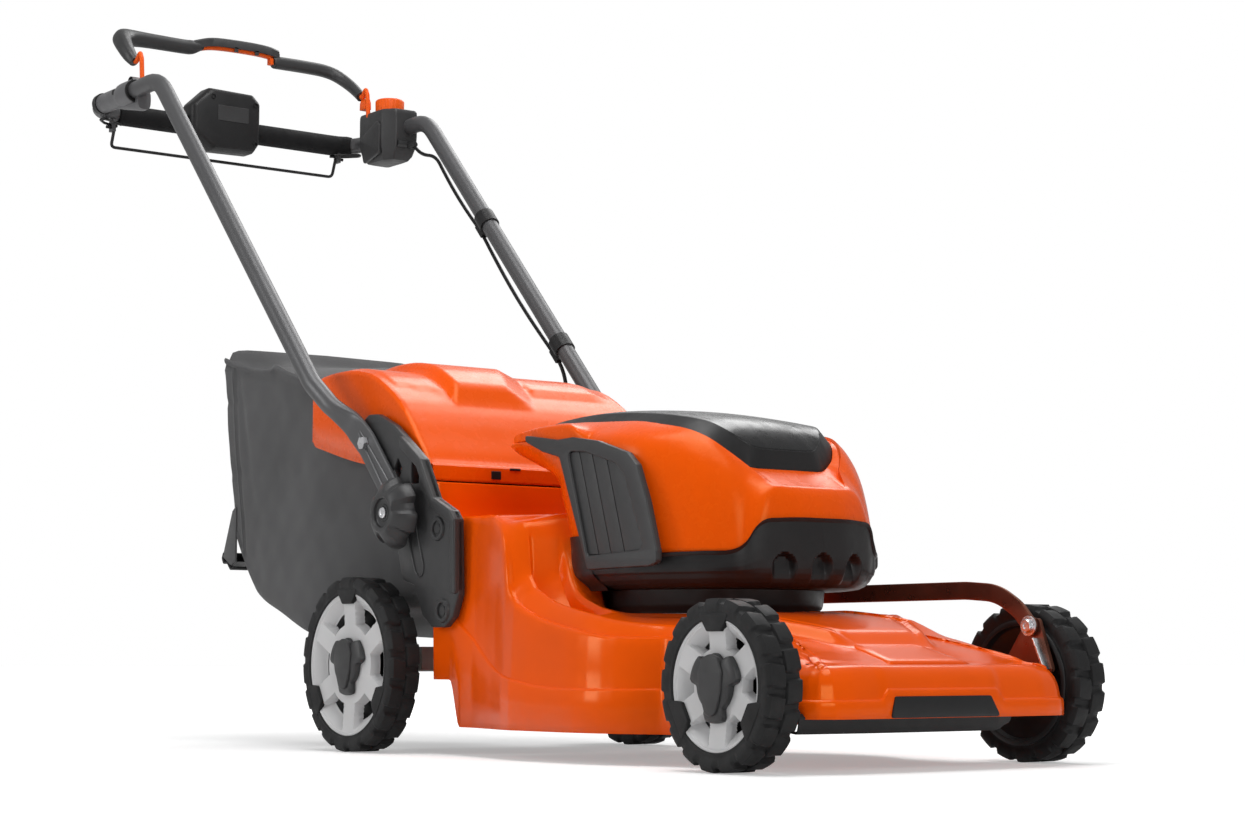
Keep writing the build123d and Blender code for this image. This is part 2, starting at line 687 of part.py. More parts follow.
def shell_profile(inset):
    front = HOUSING_FRONT_Y
    rear = CUP_REAR_Y
    low = SPLIT_Z - (OVERCUT if inset else 0.0)
    return [
        (front + inset, low),
        (rear - inset, low),
        (rear + 40 - inset, 350.0 + inset * 0.4),
        (HOUSING_REAR_Y - inset, 388.0 + inset * 0.4),
        (HOUSING_REAR_Y - inset, RIM_Z - inset),
        (front + 44 + inset * 0.5, RIM_Z - inset),
        (front + 14 + inset, RIM_Z - 40.0),
        (front + 2 + inset, RIM_Z - 84.0),
    ]


def housing_lower():
    collar = rod_z(COLLAR_R, DECK_TOP_Z, CUP_Z + OVERCUT, 0, BLADE_Y)
    bore = rod_z(COLLAR_R - COLLAR_WALL, DECK_TOP_Z - OVERCUT, CUP_Z + HOUSING_WALL + OVERCUT, 0, BLADE_Y)
    cup = side_plate(cup_profile(0.0), -HOUSING_HALF, HOUSING_HALF) & housing_prism(0.0)
    cup -= side_plate(cup_profile(HOUSING_WALL), -HOUSING_HALF, HOUSING_HALF) & housing_prism(HOUSING_WALL)
    return collar + cup - bore


def housing_upper():
    half = HOUSING_HALF
    body = side_plate(shell_profile(0.0), -half, half) & housing_prism(0.0)
    body -= side_plate(shell_profile(HOUSING_WALL), -half, half) & housing_prism(HOUSING_WALL)
    body -= block(-BAY_HALF, BAY_HALF, BAY_FRONT_Y, BAY_REAR_Y, RIM_Z - 20, RIM_Z + OVERCUT)
    for s in (-1, 1):
        x0 = LID_HALF + SIDE_GAP
        ear = block(s * x0, s * (x0 + EAR_T), LID_HINGE[0] - EAR_HALF, LID_HINGE[0] + EAR_HALF,
                    RIM_Z - OVERCUT, LID_HINGE[1] + EAR_RISE)
        body += ear - rod_x(LID_PIN_R + RUN_FIT, -half, half, LID_HINGE)
        body -= vent_window(s)
    return body


def vent_face():
    rear = CUP_REAR_Y - 40.0
    outline = [
        (BLADE_Y - 88, SPLIT_Z + 12),
        (rear - 14, SPLIT_Z + 12),
        (rear + 28, RIM_Z - 66),
        (rear + 4, RIM_Z - 22),
        (BLADE_Y - 40, RIM_Z - 26),
        (BLADE_Y - 74, RIM_Z - 60),
    ]
    return side_face(outline, VENT_CORNER_R)


def vent_window(side):
    """Through cut for a side vent panel."""
    face = offset(vent_face(), SEAT_GAP)
    return slab_x(face, side * (HOUSING_HALF - 3 * HOUSING_WALL), side * (HOUSING_HALF + OVERCUT))


def side_vents():
    parts = []
    for s in (-1, 1):
        x1 = s * HOUSING_HALF
        panel = slab_x(vent_face(), x1 - s * VENT_T, x1)
        x0 = x1 - s * (VENT_T + VENT_RIB_T)
        for i in range(VENT_RIBS):
            y = BLADE_Y - 46 + VENT_RIB_STEP * i
            panel += block(x1 - s * VENT_T, x0, y - VENT_RIB_HALF, y + VENT_RIB_HALF,
                           SPLIT_Z + 20, RIM_Z - 76)
        parts.append(panel)
    return Compound(children=parts)


def bay_block(inset, z0, z1):
    """Block over the plan of the battery bay, drawn in by an inset."""
    half = BAY_HALF - inset
    return block(-half, half, BAY_FRONT_Y + inset, BAY_REAR_Y - inset, z0, z1)


def battery_tray():
    floor = SPLIT_Z + 8.0
    top = RIM_Z - HOUSING_WALL
    tray = bay_block(TRAY_GAP, floor, top) + bay_block(-TRAY_FLANGE, top - TRAY_WALL, top)
    return tray - bay_block(TRAY_GAP + TRAY_WALL, floor + TRAY_WALL, RIM_Z)


def battery_packs():
    floor = SPLIT_Z + 8.0 + TRAY_WALL
    top = RIM_Z - PACK_TOP
    parts = []
    for s in (-1, 1):
        x0 = PACK_GAP
        x1 = BAY_HALF - PACK_SIDE
        pack = block(s * x0, s * x1, BAY_FRONT_Y + PACK_END, BAY_REAR_Y - PACK_END, floor, top)
        pack = fillet(pack.edges().filter_by(Axis.Z), PACK_ROUND)
        grip = block(s * (x0 + PACK_GRIP_SIDE), s * (x1 - PACK_GRIP_SIDE), BAY_FRONT_Y + PACK_GRIP_END,
                     BAY_REAR_Y - PACK_GRIP_END, top - OVERCUT, RIM_Z - PACK_GRIP_TOP)
        parts.append(pack + grip)
    return Compound(children=parts)


def blade_motor():
    can = rod_z(MOTOR_R, DECK_TOP_Z, SPLIT_Z - MOTOR_TOP_GAP, 0, BLADE_Y)
    can = fillet(can.edges().group_by(Axis.Z)[-1], MOTOR_ROUND)
    return can - rod_z(SHAFT_R + RUN_FIT, DECK_TOP_Z - OVERCUT, SPLIT_Z - SHAFT_TOP_GAP, 0, BLADE_Y)


def motor_controller():
    z0 = CUP_Z + HOUSING_WALL
    z1 = z0 + CONTROLLER_T
    y0 = BLADE_Y - MOTOR_R - CONTROLLER_GAP - CONTROLLER_LEN
    y1 = y0 + CONTROLLER_LEN
    case = block(-CONTROLLER_HALF, CONTROLLER_HALF, y0, y1, z0, z1)
    for i in range(FINS):
        x = FIN_STEP * (i - (FINS - 1) / 2)
        case += block(x - FIN_HALF, x + FIN_HALF, y0 + FIN_END, y1 - FIN_END, z1 - OVERCUT, z1 + FIN_RISE)
    return case


def motor_shaft():
    return rod_z(SHAFT_R, BLADE_Z + BLADE_T + HUB_SEAT, SPLIT_Z - SHAFT_TOP_GAP - SIDE_GAP, 0, BLADE_Y)


def blade_hub():
    z0 = BLADE_Z + BLADE_T
    neck_z = z0 + HUB_FLANGE_T
    hub = rod_z(HUB_FLANGE_R, z0, neck_z, 0, BLADE_Y)
    hub += rod_z(HUB_NECK_R, neck_z - OVERCUT, z0 + HUB_LEN, 0, BLADE_Y)
    hub -= rod_z(SHAFT_R + SEAT_GAP, z0 + HUB_SEAT, z0 + HUB_LEN + OVERCUT, 0, BLADE_Y)
    return hub - rod_z(BLADE_BOLT_R, z0 - OVERCUT, z0 + HUB_SEAT + OVERCUT, 0, BLADE_Y)


def cutting_blade():
    z0 = BLADE_Z
    half = BLADE_W / 2
    bar = block(-BLADE_R + 10, BLADE_R - 10, BLADE_Y - half, BLADE_Y + half, z0, z0 + BLADE_T)
    for s in (-1, 1):
        outline = [(half, z0), (half, z0 + BLADE_T), (half - 14, z0 + WING_RISE), (half - 18, z0 + WING_RISE),
                   (half - 8, z0 + BLADE_T), (half - 8, z0)]
        tip = BLADE_R - WING_TIP
        wing = side_plate([(s * y, z) for y, z in outline], s * (tip - WING_LEN), s * tip)
        bar += Pos(0, BLADE_Y, 0) * wing
    return bar - rod_z(BLADE_BOLT_R + SEAT_GAP, z0 - OVERCUT, z0 + BLADE_T + OVERCUT, 0, BLADE_Y)


def blade_bolt():
    z0 = BLADE_Z
    washer = rod_z(BLADE_WASHER_R, z0 - 4, z0, 0, BLADE_Y)
    head = extrude(Pos(0, BLADE_Y, z0 - BLADE_HEAD_LOW) * RegularPolygon(BLADE_HEAD_R, 6), 9.0)
    shank = rod_z(BLADE_BOLT_R - SEAT_GAP, z0 - OVERCUT, z0 + BLADE_T + 20, 0, BLADE_Y)
    return washer + head + shank


def battery_lid():
    """Domed cover over the battery bay, hinged at its rear edge on two short pins."""
    def outline(inset):
        floor = RIM_Z + 0.5 - (OVERCUT if inset else 0.0)
        barrel = []
        for angle in (-90, -45, 0, 45):
            y = LID_HINGE[0] + LID_BARREL_R * math.cos(math.radians(angle))
            barrel.append((y, LID_HINGE[1] + LID_BARREL_R * math.sin(math.radians(angle))))
        if inset:
            barrel = [(LID_HINGE[0] - LID_BARREL_R, floor), (LID_HINGE[0] - LID_BARREL_R, RIM_Z + 22 - inset)]
        return [
            (LID_FRONT_Y + inset, floor),
            *barrel,
            (HOUSING_REAR_Y - 60, RIM_Z + LID_TOP - 4 - inset),
            (BLADE_Y + 110, RIM_Z + LID_TOP - inset),
            (BLADE_Y, RIM_Z + LID_TOP - 8 - inset),
            (LID_FRONT_Y + 40, RIM_Z + 18 - inset),
            (LID_FRONT_Y + 6 + inset, RIM_Z + 10 - inset),
        ]
    outer = side_plate(outline(0.0), -LID_HALF, LID_HALF)
    lid = outer - side_plate(outline(HOUSING_WALL), -LID_HALF + HOUSING_WALL, LID_HALF - HOUSING_WALL)
    for s in (-1, 1):
        lid += rod_x(LID_PIN_R, s * (LID_HALF - HOUSING_WALL), s * (LID_HALF + LID_PIN_LEN), LID_HINGE)
    return lid


# Rear brackets, knobs and flap

def bracket(side):
    outline = [
        (REAR_Y + 22, PIVOT_Z + 38), (REAR_Y - 8, PIVOT_Z + 39), (REAR_Y - 50, PIVOT_Z + 21),
        (REAR_Y - 122, PIVOT_Z - 30), (REAR_Y - 156, PIVOT_Z - 84), (REAR_Y - 196, PIVOT_Z - 102),
        (REAR_Y - 206, 204.0), (REAR_Y - 190, 172.0), (REAR_Y - 150, 165.0), (REAR_Y - 128, 173.0),
        (REAR_Y - 70, 240.0), (REAR_Y + 40, PIVOT_Z + 4),
    ]
    part = side_plate(outline, side * BRACKET_IN, side * BRACKET_OUT, BRACKET_ROUND)
    x0 = side * (BRACKET_IN - OVERCUT)
    x1 = side * (BRACKET_OUT + OVERCUT)
    bolts = RIGHT_BOLTS if side < 0 else LEFT_BOLTS
    for _, y, z in bolts:
        part -= rod_x(SIDE_BOLT_R + SEAT_GAP, x0, x1, (y, z))
        part -= rod_x(SIDE_SINK_R, side * (BRACKET_OUT - SIDE_SINK), x1, (y, z))
    part -= rod_x(FLAP_ROD_R + RUN_FIT, x0, side * (BRACKET_IN + FLAP_ROD_SEAT + 0.5), HINGE)
    part -= rod_x(CLAMP_BOLT_R + SEAT_GAP, x0, x1, KNOB_AXIS)
    part -= rod_x(CLAMP_BOLT_R + SEAT_GAP, x0, x1, HANDLE_PIVOT)
    if side > 0:
        x, y, z = CABLE_PORT
        part += block(BRACKET_OUT - OVERCUT, x + GLAND_HALF, y - GLAND_LEN, y, z - GLAND_HALF, z + GLAND_HALF)
    return part


def bracket_bolts():
    parts = []
    for side, y, z in RIGHT_BOLTS + LEFT_BOLTS:
        seat = BRACKET_OUT - SIDE_SINK
        head = rod_x(SIDE_HEAD_R, side * seat, side * (BRACKET_OUT - 1), (y, z))
        socket = slab_x(Pos(y, z) * RegularPolygon(SIDE_SOCKET_R, 6), side * (seat + 2), side * BRACKET_OUT)
        parts.append(head + rod_x(SIDE_BOLT_R, side * BRACKET_IN, side * (seat + OVERCUT), (y, z)) - socket)
    return Compound(children=parts)


def handle_bolts():
    """On each side a carriage bolt for the star knob and a pivot bolt with its nut."""
    parts = []
    for s in (-1, 1):
        inner = s * (BRACKET_IN - BOLT_HEAD_T)
        start = s * (BRACKET_IN - OVERCUT)
        shank = rod_x(CLAMP_BOLT_R, start, s * (FOOT_OUT + SIDE_GAP + KNOB_T - 2), KNOB_AXIS)
        parts.append(shank + rod_x(BOLT_HEAD_R, inner, s * BRACKET_IN, KNOB_AXIS))
        shank = rod_x(CLAMP_BOLT_R, start, s * (FOOT_OUT + 4), HANDLE_PIVOT)
        seat = FOOT_OUT + NUT_GAP
        nut = slab_x(Pos(*HANDLE_PIVOT) * RegularPolygon(NUT_R, 6), s * seat, s * (seat + NUT_T))
        parts.append(shank + nut + rod_x(BOLT_HEAD_R, inner, s * BRACKET_IN, HANDLE_PIVOT))
    return Compound(children=parts)


def star_knob(side):
    x0 = FOOT_OUT + SIDE_GAP
    x1 = x0 + KNOB_T
    part = rod_x(KNOB_R - KNOB_CORE_GAP, side * x0, side * x1, KNOB_AXIS)
    reach = KNOB_R - KNOB_LOBE_R
    for i in range(KNOB_LOBES):
        angle = 2 * math.pi * i / KNOB_LOBES
        lobe = (KNOB_AXIS[0] + reach * math.cos(angle), KNOB_AXIS[1] + reach * math.sin(angle))
        part += rod_x(KNOB_LOBE_R, side * (x0 + KNOB_SHOULDER), side * x1, lobe)
    return part - rod_x(CLAMP_BOLT_R + RUN_FIT, side * (x0 - OVERCUT), side * (x1 + OVERCUT), KNOB_AXIS)


def flap_rod():
    half = BRACKET_IN + FLAP_ROD_SEAT
    return rod_x(FLAP_ROD_R, -half, half, HINGE)


def rear_flap():
    """Curved cover over the bag mouth with side ears and a raised middle."""
    y, z = HINGE
    crest = [(y + dy, z + dz) for dy, dz in FLAP_LINE]
    under = [(a, b - FLAP_T) for a, b in crest[1:]]
    under = [(crest[0][0] + FLAP_T, crest[0][1] - 1)] + [(a + 2, b) for a, b in under]
    skin = side_plate(crest + under[::-1], -FLAP_HALF, FLAP_HALF)
    ear = [(y + 153, z + 145), (y + 220, z + 154), (y + 292, z + 151), (y + 301, z + 128),
           (y + 304, z + 52), (y + 288, z + 48), (y + 179, z + 22), (y + 120, z + 60)]
    for s in (-1, 1):
        skin += side_plate(ear, s * (FLAP_HALF - FLAP_T), s * FLAP_HALF, 4.0)
    hump = [(y + 96, z + 110), (y + 126, z + 158), (y + 300, z + 176), (y + 300, z + 150), (y + 220, z + 150),
            (y + 153, z + 140)]
    hollow = [(a + FLAP_T, b - FLAP_T) for a, b in hump[:2]]
    hollow += [(y + 310, z + 173), (y + 310, z + 140), (y + 153, z + 130)]
    inside = HUMP_HALF - FLAP_T
    skin += side_plate(hump, -HUMP_HALF, HUMP_HALF) - side_plate(hollow, -inside, inside)
    skin += rod_x(FLAP_BARREL_R, -FLAP_HALF, FLAP_HALF, HINGE)
    for s in (-1, 1):
        skin -= block(s * FLAP_GAP_IN, s * FLAP_GAP_OUT, y - 10, y + 9, z - 12, z + 9)
    return skin - rod_x(FLAP_ROD_R + RUN_FIT, -BRACKET_IN, BRACKET_IN, HINGE)


# Grass bag


def bag_profile(inset):
    y = REAR_Y
    low = MOUTH_LOW_Z + inset
    front = TUNNEL_REAR_Y + SOFT_GAP + MOUTH_T - (BAG_LAP if inset else 0.0)
    return [
        (front, low), (y + 90, low), (y + 150, 172.0 + inset), (y + 240, 168.0 + inset),
        (y + 420 - inset, 226.0 + inset), (y + 466 - inset, 262.0 + inset), (y + 474 - inset, 420.0),
        (y + 490 - inset, 584.0 - inset), (y + 200, 552.0 - inset), (y + 196 - inset * 0.3, 480.0 - inset),
        (y + 60, 450.0 - inset), (y - 20, 400.0 - inset), (y - 66, 344.0 - inset),
        (front, MOUTH_HIGH_Z - inset),
    ]


def bag_fabric():
    outer = side_plate(bag_profile(0.0), -BAG_HALF, BAG_HALF)
    outer = fillet(outer.edges().filter_by(Axis.Z, tolerance=12.0).group_by(Axis.Y)[-1], BAG_ROUND)
    return outer - side_plate(bag_profile(BAG_WALL), -BAG_HALF + BAG_WALL, BAG_HALF - BAG_WALL)


def bag_frame():
    """Mouth frame that hangs against the end of the tunnel."""
    y0 = TUNNEL_REAR_Y + SOFT_GAP
    y1 = y0 + MOUTH_T
    ring = block(-BAG_HALF, BAG_HALF, y0, y1, MOUTH_LOW_Z, MOUTH_HIGH_Z)
    half = BAG_HALF - MOUTH_BORDER
    low = MOUTH_LOW_Z + MOUTH_BORDER
    high = MOUTH_HIGH_Z - MOUTH_BORDER
    return ring - block(-half, half, y0 - OVERCUT, y1 + OVERCUT, low, high)


# Handle


def handle_tube(side):
    """Side tube with a flattened foot at the bottom and a level top run."""
    x = side * TUBE_X
    foot_x = side * (FOOT_OUT + FOOT_STEP)
    low = (TUBE_LOW[0] + 50.0 * RUN_COS, TUBE_LOW[1] + 50.0 * RUN_SIN)
    points = [
        (foot_x, TUBE_LOW[0] - 24.0, TUBE_LOW[1] - 22.0),
        (x, low[0], low[1]),
        (x, TUBE_BEND[0], TUBE_BEND[1]),
        (x, JOINT_Y, JOINT_Z),
    ]
    tube = pipe(points, [TUBE_BEND_R, TUBE_BEND_R], TUBE_R, TUBE_WALL)
    upper = (TUBE_LOW[0] + 2.0, TUBE_LOW[1] + 2.0)
    foot = bar_between(HANDLE_PIVOT, KNOB_AXIS, FOOT_W, side * FOOT_IN, side * FOOT_OUT)
    foot += bar_between(HANDLE_PIVOT, upper, FOOT_W - FOOT_NARROW, side * FOOT_IN, side * FOOT_OUT)
    x0 = side * (FOOT_IN - OVERCUT)
    x1 = side * (FOOT_OUT + OVERCUT)
    foot -= rod_x(CLAMP_BOLT_R + RUN_FIT, x0, x1, HANDLE_PIVOT)
    reach = (KNOB_AXIS[0] - HANDLE_PIVOT[0], KNOB_AXIS[1] - HANDLE_PIVOT[1])
    away = (KNOB_AXIS[0] + reach[1], KNOB_AXIS[1] - reach[0])
    notch = bar_between(KNOB_AXIS, away, 2 * CLAMP_BOLT_R + NOTCH_CLEARANCE, x0, x1)
    return tube + (foot - notch)


def cross_tube():
    """Cross tube with an elbow at each end and the clips of the lower bail."""
    points = [
        (-TUBE_X, JOINT_Y, JOINT_Z),
        (-TUBE_X, CROSS_Y, CROSS_Z),
        (TUBE_X, CROSS_Y, CROSS_Z),
        (TUBE_X, JOINT_Y, JOINT_Z),
    ]
    part = pipe(points, [ELBOW_R, ELBOW_R], TUBE_R, TUBE_WALL)
    for s in (-1, 1):
        clip = block(s * LOW_CLIP_X, s * (LOW_CLIP_X - LOW_CLIP_T), LOW_PIVOT[0] - LOW_CLIP_HALF,
                     LOW_PIVOT[0] + LOW_CLIP_HALF, LOW_PIVOT[1] - LOW_CLIP_HALF, CROSS_Z - TUBE_R + 3)
        clip -= rod_x(LOW_WIRE_R + RUN_FIT, -HALF_WIDTH, HALF_WIDTH, LOW_PIVOT)
        part += clip
    return part


def foam_grips():
    parts = []
    for x0, x1 in ((-GRIP_END, CONSOLE_X0 - GRIP_GAP), (CONSOLE_X1 + GRIP_GAP, GRIP_END)):
        part = rod_x(GRIP_R, x0, x1, (CROSS_Y, CROSS_Z))
        parts.append(part - rod_x(TUBE_R + SEAT_GAP, x0 - OVERCUT, x1 + OVERCUT, (CROSS_Y, CROSS_Z)))
    return Compound(children=parts)


def top_run_bore(x):
    """Clearance bore around the straight top run of a side tube."""
    run = Line((x, TUBE_BEND[0], TUBE_BEND[1]), (x, CROSS_Y, CROSS_Z))
    return sweep(Plane(run @ 0, z_dir=run % 0) * Circle(TUBE_R + SEAT_GAP), path=run)


def handle_sleeve():
    """Right sleeve over the tube joint, with the bail holder on its inner side."""
    y, top = BAIL_PIVOT
    x = -TUBE_X
    z = CROSS_Z + RUN_RISE
    part = block(x - SLEEVE_OUT, x + SLEEVE_R, y - SLEEVE_FRONT, CROSS_Y - SLEEVE_REAR,
                 z - SLEEVE_LOW, z + SLEEVE_R)
    part = fillet(part.edges().filter_by(Axis.Y), SLEEVE_ROUND)
    part += block(x + 10.0, -BOX_IN, y - HOLDER_HALF, y + HOLDER_HALF, z - HOLDER_HALF, top + 10)
    part -= rod_x(BAIL_WIRE_R + RUN_FIT, -BAIL_X - 14.0, 0, BAIL_PIVOT)
    return part - top_run_bore(x)


def switch_box():
    """Switch housing around the left tube run, below the dial."""
    z = CROSS_Z + RUN_RISE
    y = BAIL_PIVOT[0]
    x1 = HALF_WIDTH - 0.5
    case = block(BOX_IN, x1, y - BOX_FRONT, y + BOX_REAR, z - BOX_LOW, z + BOX_HIGH)
    case = fillet(case.edges().filter_by(Axis.X), BOX_ROUND)
    case -= top_run_bore(TUBE_X)
    case -= rod_x(BAIL_WIRE_R + RUN_FIT, 0, BAIL_X + 14.0, BAIL_PIVOT)
    case -= rod_z(DIAL_STEM_R + RUN_FIT, z + 18, z + 60, DIAL_X, DIAL_Y)
    return case


def speed_dial():
    z = CROSS_Z + RUN_RISE + BOX_HIGH
    dial = rod_z(DIAL_R, z + SIDE_GAP, z + SIDE_GAP + DIAL_T, DIAL_X, DIAL_Y)
    dial = chamfer(dial.edges().group_by(Axis.Z)[-1], DIAL_EDGE)
    return dial + rod_z(DIAL_STEM_R, z - DIAL_STEM_LEN, z + SIDE_GAP + OVERCUT, DIAL_X, DIAL_Y)


def console_case():
    case = block(CONSOLE_X0, CONSOLE_X1, CROSS_Y - CONSOLE_FRONT, CROSS_Y + TUBE_R - 0.5,
                 CROSS_Z - CONSOLE_LOW, CROSS_Z + CONSOLE_HIGH)
    case = fillet(case.edges().filter_by(Axis.Y), CONSOLE_ROUND)
    case -= rod_x(TUBE_R + SEAT_GAP, -HALF_WIDTH, HALF_WIDTH, (CROSS_Y, CROSS_Z))
    pocket = Pos(BUTTON[0], CROSS_Y + 6.0, BUTTON[1]) * Rot(90, 0, 0) * Cylinder(BUTTON_R + SOFT_GAP, 20.0)
    return case - pocket


def power_button():
    y0 = CROSS_Y + BUTTON_TRAVEL
    y1 = CROSS_Y + TUBE_R - 0.2
    button = Pos(BUTTON[0], (y0 + y1) / 2, BUTTON[1]) * Rot(90, 0, 0) * Cylinder(BUTTON_R, y1 - y0)
    return chamfer(button.edges().group_by(Axis.Y)[-1], 1.0)


def bail_wire():
    """Bent wire ends of the upper bail, running in the sleeve and in the switch box."""
    parts = []
    for s in (-1, 1):
        points = [
            (s * (BAIL_X + 12), *BAIL_PIVOT), (s * (BAIL_X - 8), *BAIL_PIVOT),
            (s * (BAIL_X - 8), BAIL_LOW[0] + 8, BAIL_LOW[1] + 10),
        ]
        parts.append(pipe(points, [8.0], BAIL_WIRE_R))
    return Compound(children=parts)


def bail_grip():
    """Moulded loop between the two wire ends, arched at the middle over the trigger."""
    end = (BAIL_LOW[0] + 10.0, BAIL_LOW[1] + 12.0)
    x = BAIL_X - 8.0
    y, z = BAIL_BAR
    points = [
        (-x, *end), (-x, y, z), (-112.0, y, z), (-70.0, y, z + ARCH), (55.0, y, z + ARCH), (85.0, y, z),
        (x, y, z), (x, *end),
    ]
    loop = pipe(points, [34.0, 40.0, 40.0, 30.0, 30.0, 34.0], BAIL_GRIP_R)
    half = TRIGGER_HALF + TRIGGER_SLOT
    loop -= block(TRIGGER_X0 - TRIGGER_LEN_GAP, TRIGGER_X1 + TRIGGER_LEN_GAP, y - half, y + half,
                  z + ARCH - 20, z + ARCH + OVERCUT)
    for s in (-1, 1):
        loop -= pipe([(s * x, *BAIL_PIVOT), (s * x, BAIL_LOW[0] + 8, BAIL_LOW[1] + 10.1),
                      (s * x - s * 1.0, BAIL_LOW[0] + 9, BAIL_LOW[1] + 12.0)], [1.0], BAIL_WIRE_R + SEAT_GAP)
    return loop


def bail_trigger():
    y, z = BAIL_BAR
    z1 = z + ARCH + OVERCUT - TRIGGER_TRAVEL - TRIGGER_LEN_GAP
    return block(TRIGGER_X0, TRIGGER_X1, y - TRIGGER_HALF, y + TRIGGER_HALF, z + ARCH - TRIGGER_DEPTH, z1)


def bail_lower():
    """Wire bail under the cross tube, its ends turned into the clips."""
    y, z = LOW_PIVOT
    end = LOW_CLIP_X - LOW_END
    leg = LOW_CLIP_X + LOW_ELBOW
    low = z - LOW_DROP
    points = [(-end, y, z), (-leg, y, z), (-leg, y, low), (leg, y, low), (leg, y, z), (end, y, z)]
    return pipe(points, [5.0, 8.0, 8.0, 5.0], LOW_WIRE_R)


# Control cable

def on_tube(along):
    """Point below the left tube, given by its distance up from the foot."""
    return (TUBE_LOW[0] + along * RUN_COS + CABLE_DROP * RUN_SIN,
            TUBE_LOW[1] + along * RUN_SIN - CABLE_DROP * RUN_COS)


def cable_radii(points):
    """Largest arc that the two runs at each corner allow."""
    radii = []
    for a, b, c in zip(points, points[1:], points[2:]):
        one = Vector(*b) - Vector(*a)
        two = Vector(*c) - Vector(*b)
        half = math.radians(one.get_angle(two)) / 2
        radii.append(CABLE_CORNER * min(one.length, two.length) / math.tan(half))
    return radii


def bowed(along, bow):
    """Point of the clipped stretch, standing off the tube by a small bow."""
    y, z = on_tube(along)
    return (TUBE_X, y + bow * RUN_SIN, z - bow * RUN_COS)


def upper_route():
    x = TUBE_X
    first, last = CLIP_ALONG
    points = []
    for i in range(7):
        along = first + (last - first) * i / 6.0
        points.append(bowed(along, CLIPPED_BOW * math.sin(math.pi * i / 6.0)))
    for i in range(1, 6):
        along = last + (CABLE_TOP_ALONG - last) * i / 5.0
        points.append(bowed(along, TOP_BOW * math.sin(math.pi * i / 5.0)))
    end_y = BAIL_PIVOT[0] - BOX_FRONT
    end_z = CROSS_Z - 26.0
    points += [(x, end_y - 44.0, end_z - 22.0), (x, end_y - 16.0, end_z), (x, end_y, end_z)]
    return points


def lower_route():
    """Free stretch from the lower clip down to the gland on the left bracket."""
    start, following = upper_route()[:2]
    x, y, z = start
    step = CABLE_STRAIGHT / math.dist(start, following)
    straight = (x, y + (y - following[1]) * step, z + (z - following[2]) * step)
    end = CABLE_PORT
    return [
        start, straight, (x, y - 32.0, z - 64.0), (x, y - 40.0, z - 108.0),
        (x - 1.0, y - 56.0, z - 152.0), (x - 2.0, y - 82.0, z - 196.0), (x - 4.0, y - 116.0, z - 236.0),
        (x - 7.0, y - 156.0, z - 272.0), (x - 11.0, end[1] + 96.0, end[2] + 36.0),
        (end[0] + 1.0, end[1] + 52.0, end[2] + 9.0), (end[0], end[1] + 22.0, end[2]), end,
    ]


def cable(points, grow=0.0):
    return pipe(points, cable_radii(points), CABLE_R + grow)


def cable_clips():
    """Band round the left tube with a tail that holds the cable, once at each clip."""
    parts = []
    upper = cable(upper_route(), SEAT_GAP)
    lower = cable(lower_route(), SOFT_GAP)
    for along in CLIP_ALONG:
        y = TUBE_LOW[0] + along * RUN_COS
        z = TUBE_LOW[1] + along * RUN_SIN
        place = Pos(TUBE_X, y, z) * Rot(TUBE_ANGLE, 0, 0)
        outer = Cylinder(TUBE_R + CLIP_WALL, CLIP_LEN)
        bore = Cylinder(TUBE_R + SEAT_GAP, 2 * CLIP_LEN)
        tail_h = CABLE_DROP + 3 * CLIP_WALL
        tail = Pos(0, 0, (CLIP_WALL - CABLE_DROP) / 2) * Box(CLIP_TAIL_W, CLIP_LEN, tail_h)
        part = place * (Rot(90, 0, 0) * outer + tail - Rot(90, 0, 0) * bore)
        parts.append(part - upper - lower)
    return Compound(children=parts)


def wheels():
    made = {}
    sizes = {
        "front": (FRONT_WHEEL_R, FRONT_TYRE_W, FRONT_RIM_R, FRONT_LUGS, HALF_WIDTH, 0.0),
        "rear": (REAR_WHEEL_R, REAR_TYRE_W, REAR_RIM_R, REAR_LUGS, HALF_WIDTH - REAR_TYRE_INSET, REAR_Y),
    }
    for end, (radius, width, rim_r, lugs, outer_x, y) in sizes.items():
        pieces = {
            "tyre": tyre(radius, width, rim_r, lugs),
            "rim": rim(width, rim_r),
            "hub_cap": hub_cap(width),
        }
        for hand in ("right", "left"):
            for name, part in pieces.items():
                made[f"{name}_{end}_{hand}"] = place_wheel(part, hand == "left", width, outer_x, y, radius)
    return made


